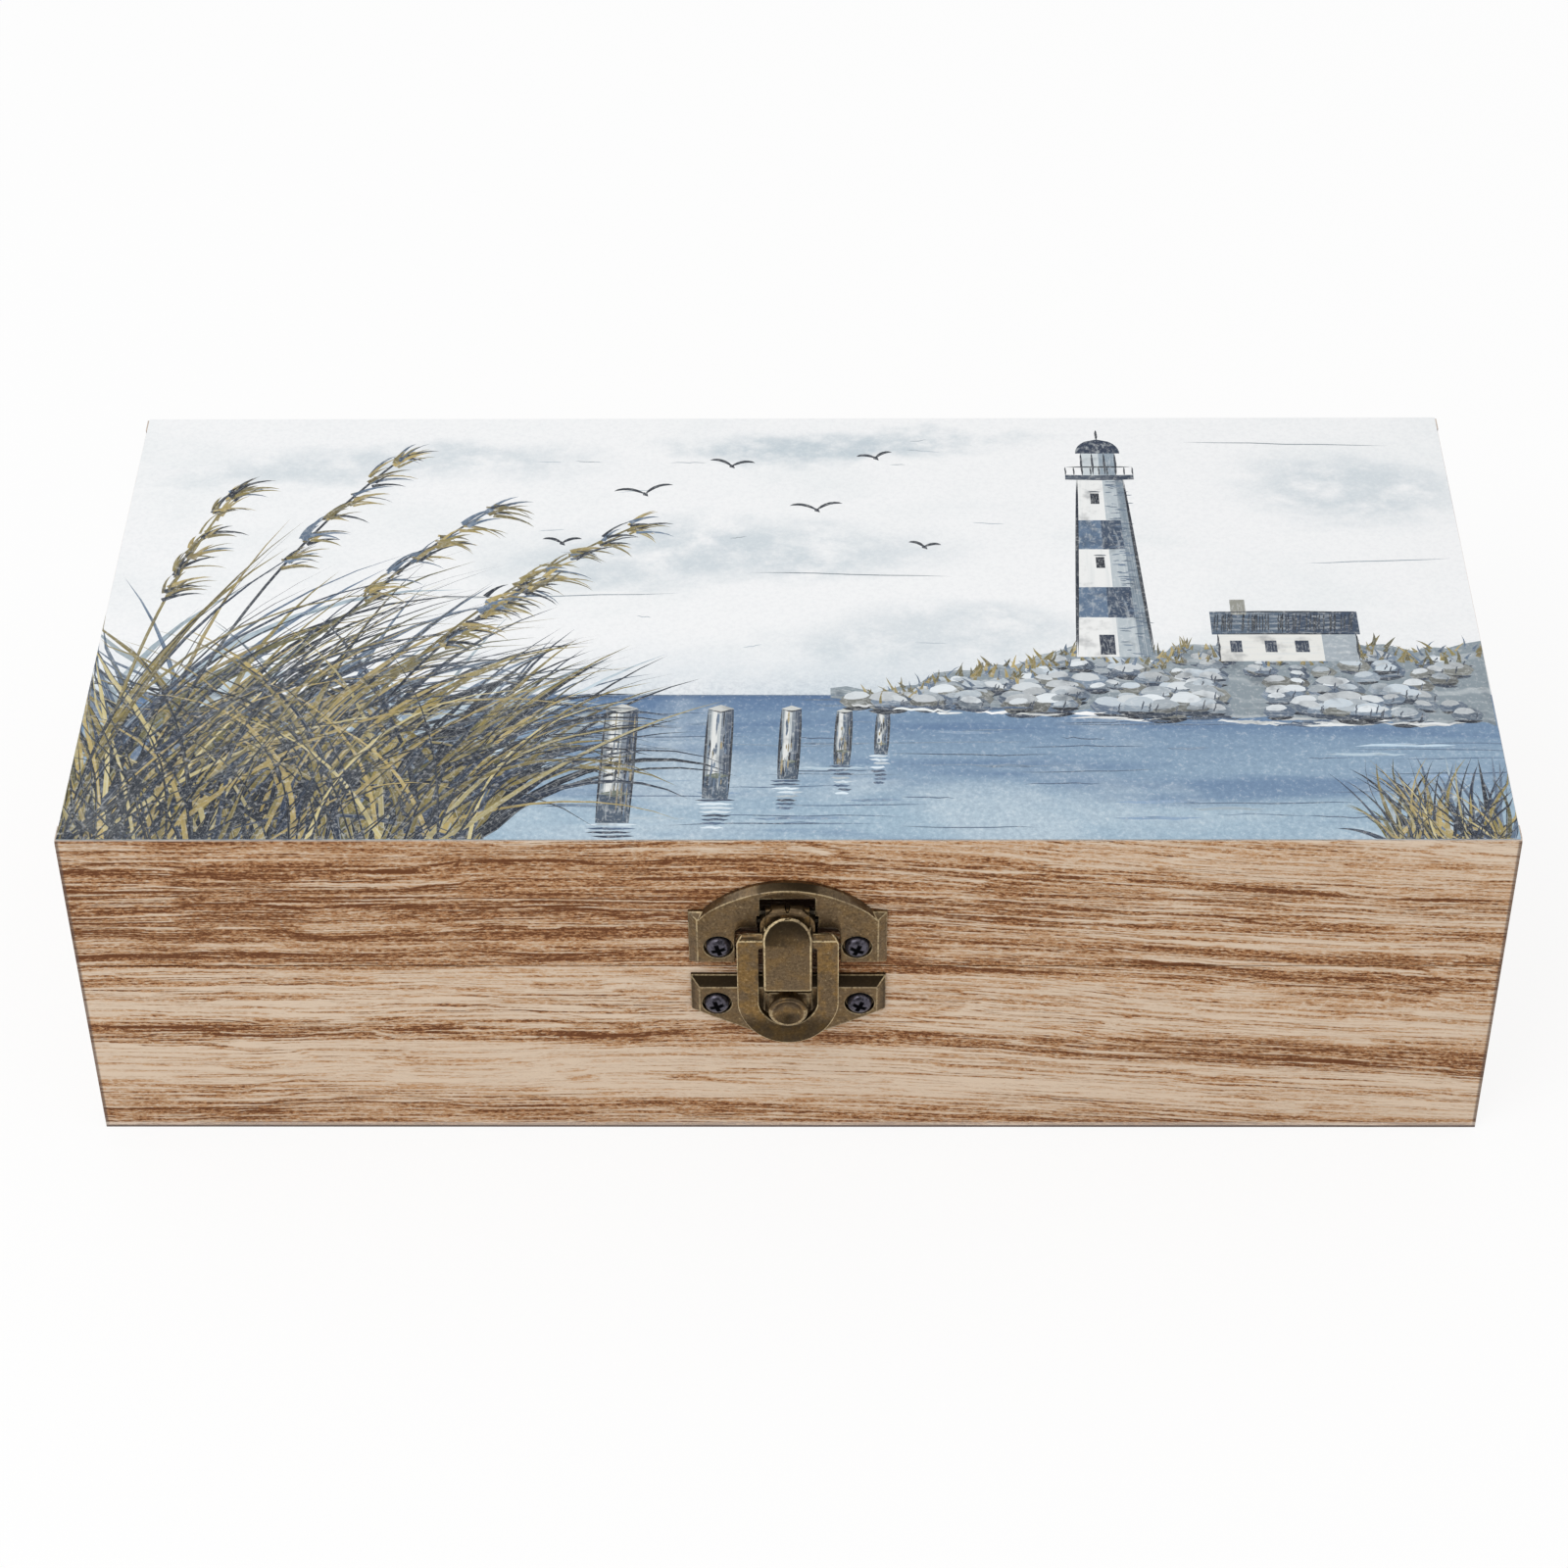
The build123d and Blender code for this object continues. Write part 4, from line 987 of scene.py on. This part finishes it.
def paint_posts(art):
    """A row of weathered mooring posts that runs out into the water."""
    spread = art.chance.uniform
    lean = 0.5
    for x, y, height, width in ((-24, -45, 24, 4.6), (-10, -40, 19, 3.6), (0, -36, 15, 2.8), (7.5, -33, 11.5, 2.2),
                                (13, -30.8, 9, 1.8)):

        def up(share, start=0.0, end=1.0, steps=4):
            """Points up the post at a share of its width from the middle."""
            climbs = [start + (end - start) * step / steps for step in range(steps + 1)]
            return [(x + share * width + lean * climb, y + height * climb) for climb in climbs]

        art.stroke(up(0), even(width, width * 0.92), (196, 202, 204), 5)
        for share, wide, tint, layer in ((0.36, 0.28, (72, 84, 102), 7), (0.2, 0.3, (122, 132, 144), 6),
                                         (-0.42, 0.14, (134, 144, 152), 7), (-0.18, 0.22, (228, 230, 228), 6)):
            art.stroke(up(share), even(wide * width), tint, layer)
        for _ in range(30):
            start = spread(0, 0.8)
            tint = art.pick(INK, SLATE, SLATE, (150, 138, 108), (170, 176, 178))
            art.stroke(up(spread(-0.46, 0.46), start, min(start + spread(0.06, 0.3), 1.0), 3),
                       lens(spread(0.16, 0.34)), tint, 9)
        # the wet foot, the outline, the sawn top
        art.stroke(up(0, 0.0, 0.24), even(width, width * 0.97), (78, 92, 108), 8)
        art.stroke(up(0, 0.22, 0.28, 2), lens(width), (108, 116, 104), 9)
        for side in (-0.5, 0.5):
            art.stroke(up(side), lens(0.34), INK, 11)
        middle, top = x + lean, y + height
        for reach, edge, dip, thick, tint, layer in ((0.52, top, top + 0.1, width * 0.42, (206, 208, 204), 12),
                                                     (0.5, top - 0.2, top - width * 0.22, 0.36, INK, 13)):
            art.stroke([(middle - width * reach, edge), (middle, dip), (middle + width * reach, edge)],
                       lens(thick), tint, layer)
        for ripple in range(8):
            low = y - 0.3 - ripple * 0.8
            reach = width * (0.8 - 0.05 * ripple)
            shift = spread(-0.5, 0.5)
            tint = art.pick((48, 62, 86), (72, 92, 120), (206, 218, 226))
            art.stroke(art.line((x - reach + shift, low), (x + reach + shift, low), 0.1), lens(0.5), tint, 4)


def paint_dunes(art):
    """Tall marram grass that arches over the left side, and a small tuft on the right."""
    chance, spread = art.chance, art.chance.uniform
    ground = -SHEET_HALF_Y - 1
    # number of blades, their tints, width and layers, from the back to the front
    for count, tints, width, layers in (
            (80, (MIST, (176, 190, 198), SLATE), 2.0, (3, 8)), (110, (INK, INK, NIGHT, SLATE), 1.8, (7, 12)),
            (100, (OLIVE, OCHRE, (138, 124, 70), (98, 94, 58)), 1.4, (11, 17)),
            (100, (INK, INK, NIGHT), 0.9, (16, 21)),
            (60, (OCHRE, OLIVE, (184, 172, 124)), 0.8, (19, 23)), (90, (INK,), 0.35, (22, 25))):
        for _ in range(count):
            x = -100 + 58 * chance.random() ** 1.4
            reach = 26 + (44 - 0.55 * (x + 100)) * chance.random()
            heading = chance.gauss(84, 20)
            bend = (-1 if heading < 92 else 1) * spread(25, 105)
            points = art.bent((x, ground), heading, max(reach, 12) * 1.25, bend, 10)
            art.stroke(points, taper(width * spread(0.6, 1.3)), art.pick(*tints), chance.randrange(*layers))
        for _ in range(count // 4):
            x = spread(82, 99)
            heading = chance.gauss(92, 24)
            points = art.bent((x, ground), heading, spread(7, 19), spread(-50, 60), 7)
            art.stroke(points, taper(width * 0.6), art.pick(*tints), chance.randrange(*layers))
    # the tall stems with their seed heads: foot, heading, length, bend
    for x, heading, length, bend in ((-92, 80, 92, -26), (-84, 74, 84, -30), (-73, 68, 86, -34), (-66, 78, 66, -40),
                                     (-97, 88, 78, -18)):
        stem = art.bent((x, -SHEET_HALF_Y), heading, length, bend, 16)
        art.stroke(stem, even(0.6, 0.4), art.pick(OLIVE, INK), 20)
        for _ in range(64):
            place = stem[chance.randrange(11, 17)]
            tint = art.pick(OLIVE, OCHRE, INK, (110, 100, 66), SLATE)
            start = (place[0] + spread(-0.8, 0.8), place[1] + spread(-1.5, 1.5))
            points = art.bent(start, heading + bend * 0.7 + spread(-65, 25), spread(3.0, 7.5), -45, 5)
            art.stroke(points, taper(spread(0.4, 1.0)), tint, chance.randrange(20, 26))


def paint_sky(art):
    """Gulls and a few loose pencil lines."""
    spread = art.chance.uniform
    for x, y, span, tilt in ((-22, 29, 5.2, 10), (-9, 36, 4.0, -6), (4, 25, 4.6, 4), (13, 38, 3.2, 12),
                             (-34, 17, 3.4, 0), (20, 16, 2.8, -8)):
        for side in (-1, 1):
            art.stroke(art.bent((x, y), 90 - side * 42 + tilt, span, -side * 75, 7), lens(0.62), INK, 6)
        art.stroke([(x - 0.3, y + 0.5), (x, y), (x + 0.5, y - 0.6)], lens(0.8), INK, 7)
    for start, end in (((-52, 4), (-16, 5)), ((60, 42), (92, 41)), ((-6, 10), (24, 9)), ((76, 12), (98, 13))):
        art.pencil(start, end, 0.12, 0.22, 4, (132, 144, 154))
    for _ in range(14):
        x, y = spread(-40, 30), spread(-8, 44)
        art.pencil((x, y), (x + spread(2, 6), y + spread(-0.6, 0.6)), 0.1, 0.18, 4, (168, 178, 186))


PICTURE = (paint_sea, paint_headland, paint_lighthouse, paint_cottage, paint_posts, paint_dunes, paint_sky)


# ---------------------------------------------------------------- operators
class BOX_OT_boards(bpy.types.Operator):
    """Give every board its own cut of the wood"""
    bl_idname = "keepsake.boards"
    bl_label = "Boards"

    def execute(self, context):
        for number, name in enumerate(LONG_BOARDS + SIDE_BOARDS + PANELS):
            front = name.endswith("front_board")
            turn = math.radians(90) if name in SIDE_BOARDS else 0.0
            start = 0.0 if front else GRAIN_STEP * number
            label = name.replace("_", " ").capitalize() + " wood"
            dress([name], wood_material(label, context.scene.keepsake_wood, turn, (start, *GRAIN_START), front))
        return {"FINISHED"}


class BOX_OT_print(bpy.types.Operator):
    """Lay the seaside print over the lid: its washes first, then the strokes"""
    bl_idname = "keepsake.print"
    bl_label = "Print"

    def execute(self, context):
        low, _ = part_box("lid_print")
        shape = bmesh.new()
        bmesh.ops.create_cube(shape, size=1.0)
        size = (2 * SHEET_HALF_X * MM, 2 * SHEET_HALF_Y * MM, PAINT_Z - PAINT_LAYER - low[2])
        bmesh.ops.scale(shape, vec=size, verts=shape.verts)
        bmesh.ops.translate(shape, vec=(0, 0, low[2] + size[2] / 2), verts=shape.verts)
        sheet = new_object("print_sheet", shape, print_material(context.scene.keepsake_print))
        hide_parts("lid_print")
        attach(sheet, "lid")
        paint = paint_material()
        for number, scene in enumerate(PICTURE):
            art = Painter(FIRST_SEED + number)
            scene(art)
            piece = art.finish("print_" + scene.__name__.split("_")[1], paint)
            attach(piece, "lid")
        return {"FINISHED"}


class BOX_OT_latch(bpy.types.Operator):
    """Age the bronze of the latch and darken its screws"""
    bl_idname = "keepsake.latch"
    bl_label = "Latch"

    def execute(self, context):
        settings = context.scene.keepsake_metal
        bare = bronze_material("Bare bronze edge", settings, 0.4, 0.2, bare=0.85)
        dull = bronze_material("Dull bronze edge", settings, 0.4, 0.2, bare=0.5)
        for name, body, width, front, warm, slope in LATCH_EDGES:
            bronze = bronze_material("Aged bronze " + name, settings, warm, slope, piece=name)
            dress([name], bronze)
            worn_copy(name, body, width * MM, front, bronze, dull if "plate" in name else bare)
        shape = bmesh.new()
        turned(shape, NUB_PROFILE, 0.0, NUB_Z, 56)
        rim_radius, rim_out, rim_top = NUB_RIM
        # worn bare metal on the lower half of the rim only, which also makes a painted highlight there
        for face in shape.faces:
            middle = face.calc_center_median()
            radius = math.hypot(middle.x, middle.z - NUB_Z * MM)
            face.material_index = int(radius > rim_radius * MM and middle.y < FRONT_Y - rim_out * MM
                                      and middle.z < (NUB_Z + rim_top) * MM)
        rubbed = bronze_material("Rubbed bronze", settings, 0.6, 0.6)
        add_piece("keeper_nub", shape, "base", "antique_bronze", (rubbed, bare), 40)
        steel = screw_material("Screw steel", settings.screw, shade(48, 46, 53))
        dress(LATCH_SCREWS, steel)
        latch_heads("latch_lid_screws", "lid", steel)
        latch_heads("keeper_screws", "base", steel)
        dress(SMALL_STEEL, plain_metal("Dark steel", shade(52, 46, 38), 0.4, settings))
        return {"FINISHED"}


class BOX_OT_hinges(bpy.types.Operator):
    """Finish the brass hinges and their screws"""
    bl_idname = "keepsake.hinges"
    bl_label = "Hinges"

    def execute(self, context):
        settings = context.scene.keepsake_metal
        dress(BASE_LEAVES + LID_LEAVES + HINGE_SCREWS, plain_metal("Hinge brass", settings.hinge, 0.3, settings))
        brass = screw_material("Screw brass", shade(206, 176, 118), shade(150, 120, 70))
        hinge_heads("hinge_base_screws", "base", 1, brass)
        hinge_heads("hinge_lid_screws", "lid", -1, brass)
        return {"FINISHED"}


def flat_sheet(size):
    """A square sheet that lies flat, in metres from its middle to its edges."""
    shape = bmesh.new()
    bmesh.ops.create_grid(shape, x_segments=1, y_segments=1, size=size)
    return shape


def floor_material():
    """White floor that fades into the room for the camera and in reflections."""
    material = bpy.data.materials.new("Floor")
    nodes = cleared(material)
    matt = nodes.add("ShaderNodeBsdfDiffuse", {"Color": (0.96, 0.96, 0.96, 1)})
    glow = nodes.add("ShaderNodeEmission", {"Color": (1, 1, 1, 1), "Strength": 1.0})
    seen = nodes.add("ShaderNodeLightPath").outputs
    share = nodes.times(nodes.most(seen["Is Camera Ray"], seen["Is Glossy Ray"]), 0.86)
    blend = nodes.add("ShaderNodeMixShader", {0: share, 1: matt.outputs[0], 2: glow.outputs[0]})
    nodes.add("ShaderNodeOutputMaterial", {"Surface": blend.outputs[0]})
    return material


def screen_material():
    """The dark grey of the screen."""
    material = bpy.data.materials.new("Dark screen")
    nodes = cleared(material)
    matt = nodes.add("ShaderNodeBsdfDiffuse", {"Color": shade(40, 38, 36)})
    nodes.add("ShaderNodeOutputMaterial", {"Surface": matt.outputs[0]})
    return material


def white_room(fill):
    """A room that lights evenly, and looks plain white to the camera and in reflections."""
    world = bpy.data.worlds.new("Room")
    nodes = cleared(world)
    seen = nodes.add("ShaderNodeLightPath").outputs
    direct = nodes.most(*[seen["Is " + ray + " Ray"] for ray in ("Camera", "Transmission", "Glossy")])
    even_light, white = [nodes.add("ShaderNodeBackground", {"Color": (1, 1, 1, 1), "Strength": strength}).outputs[0]
                         for strength in (fill, 1.0)]
    blend = nodes.add("ShaderNodeMixShader", {0: direct, 1: even_light, 2: white})
    nodes.add("ShaderNodeOutputWorld", {"Surface": blend.outputs[0]})
    return world


def add_lamp(power):
    """A large soft lamp at the upper left, which points at the middle of the box."""
    place, middle = Vector((-0.35, -0.45, 0.75)), Vector((0, 0, 0.03))
    lamp = bpy.data.lights.new("key_lamp", "AREA")
    lamp.shape = "RECTANGLE"
    lamp.size, lamp.size_y = 0.5, 0.4
    lamp.energy = power
    holder = bpy.data.objects.new("key_lamp", lamp)
    aim = middle - place
    holder.matrix_world = Matrix.Translation(place) @ aim.to_track_quat("-Z", "Y").to_matrix().to_4x4()
    bpy.context.collection.objects.link(holder)


def add_camera(settings):
    """The camera, turned by its yaw, pitch and roll."""
    data = bpy.data.cameras.new("camera")
    data.lens = settings.lens
    data.sensor_width = 36.0
    data.clip_start = 0.01
    camera = bpy.data.objects.new("camera", data)
    turn = Matrix.Rotation(settings.yaw, 4, "Z")
    turn = turn @ Matrix.Rotation(math.radians(90) - settings.pitch, 4, "X")
    turn = turn @ Matrix.Rotation(settings.roll, 4, "Z")
    camera.matrix_world = Matrix.Translation(settings.camera_place) @ turn
    bpy.context.collection.objects.link(camera)
    return camera


class BOX_OT_stage(bpy.types.Operator):
    """Set up the floor, the lamps, the room and the camera"""
    bl_idname = "keepsake.stage"
    bl_label = "Stage"

    def execute(self, context):
        settings = context.scene.keepsake_stage
        floor = new_object("floor", flat_sheet(3.0), floor_material())
        # a screen in front of the box, which only darkens what the leaning metal faces reflect
        shape = flat_sheet(0.5)
        bmesh.ops.scale(shape, vec=(0.95, 1.9, 1.0), verts=shape.verts)
        bmesh.ops.rotate(shape, matrix=Matrix.Rotation(math.radians(90), 3, "X"), verts=shape.verts)
        bmesh.ops.translate(shape, vec=(0.0, -1.1, 1.0), verts=shape.verts)
        screen = new_object("dark_screen", shape, screen_material())
        screen.visible_camera = False
        screen.visible_diffuse = False
        screen.visible_shadow = False
        add_lamp(settings.key_power)
        context.scene.world = white_room(settings.fill)
        context.scene.camera = add_camera(settings)
        context.scene.view_settings.view_transform = "Standard"
        return {"FINISHED"}


class BOX_PT_panel(bpy.types.Panel):
    """Buttons for every step"""
    bl_label = "Keepsake box"
    bl_idname = "BOX_PT_panel"
    bl_space_type = "VIEW_3D"
    bl_region_type = "UI"
    bl_category = "Keepsake box"

    def draw(self, context):
        for step in STEPS:
            self.layout.operator(step.bl_idname)


SETTINGS = (WoodSettings, MetalSettings, PrintSettings, StageSettings)
STEPS = (BOX_OT_boards, BOX_OT_print, BOX_OT_latch, BOX_OT_hinges, BOX_OT_stage)


def register():
    for kind in SETTINGS + STEPS + (BOX_PT_panel,):
        bpy.utils.register_class(kind)
    bpy.types.Scene.keepsake_wood = bpy.props.PointerProperty(type=WoodSettings)
    bpy.types.Scene.keepsake_metal = bpy.props.PointerProperty(type=MetalSettings)
    bpy.types.Scene.keepsake_print = bpy.props.PointerProperty(type=PrintSettings)
    bpy.types.Scene.keepsake_stage = bpy.props.PointerProperty(type=StageSettings)


def unregister():
    del bpy.types.Scene.keepsake_wood
    del bpy.types.Scene.keepsake_metal
    del bpy.types.Scene.keepsake_print
    del bpy.types.Scene.keepsake_stage
    for kind in reversed(SETTINGS + STEPS + (BOX_PT_panel,)):
        bpy.utils.unregister_class(kind)


def main():
    register()
    edge_wear_group()
    wood_grain_group()
    board_edge_group()
    for step in STEPS:
        area, name = step.bl_idname.split(".")
        getattr(getattr(bpy.ops, area), name)()


if __name__ == "__main__":
    main()
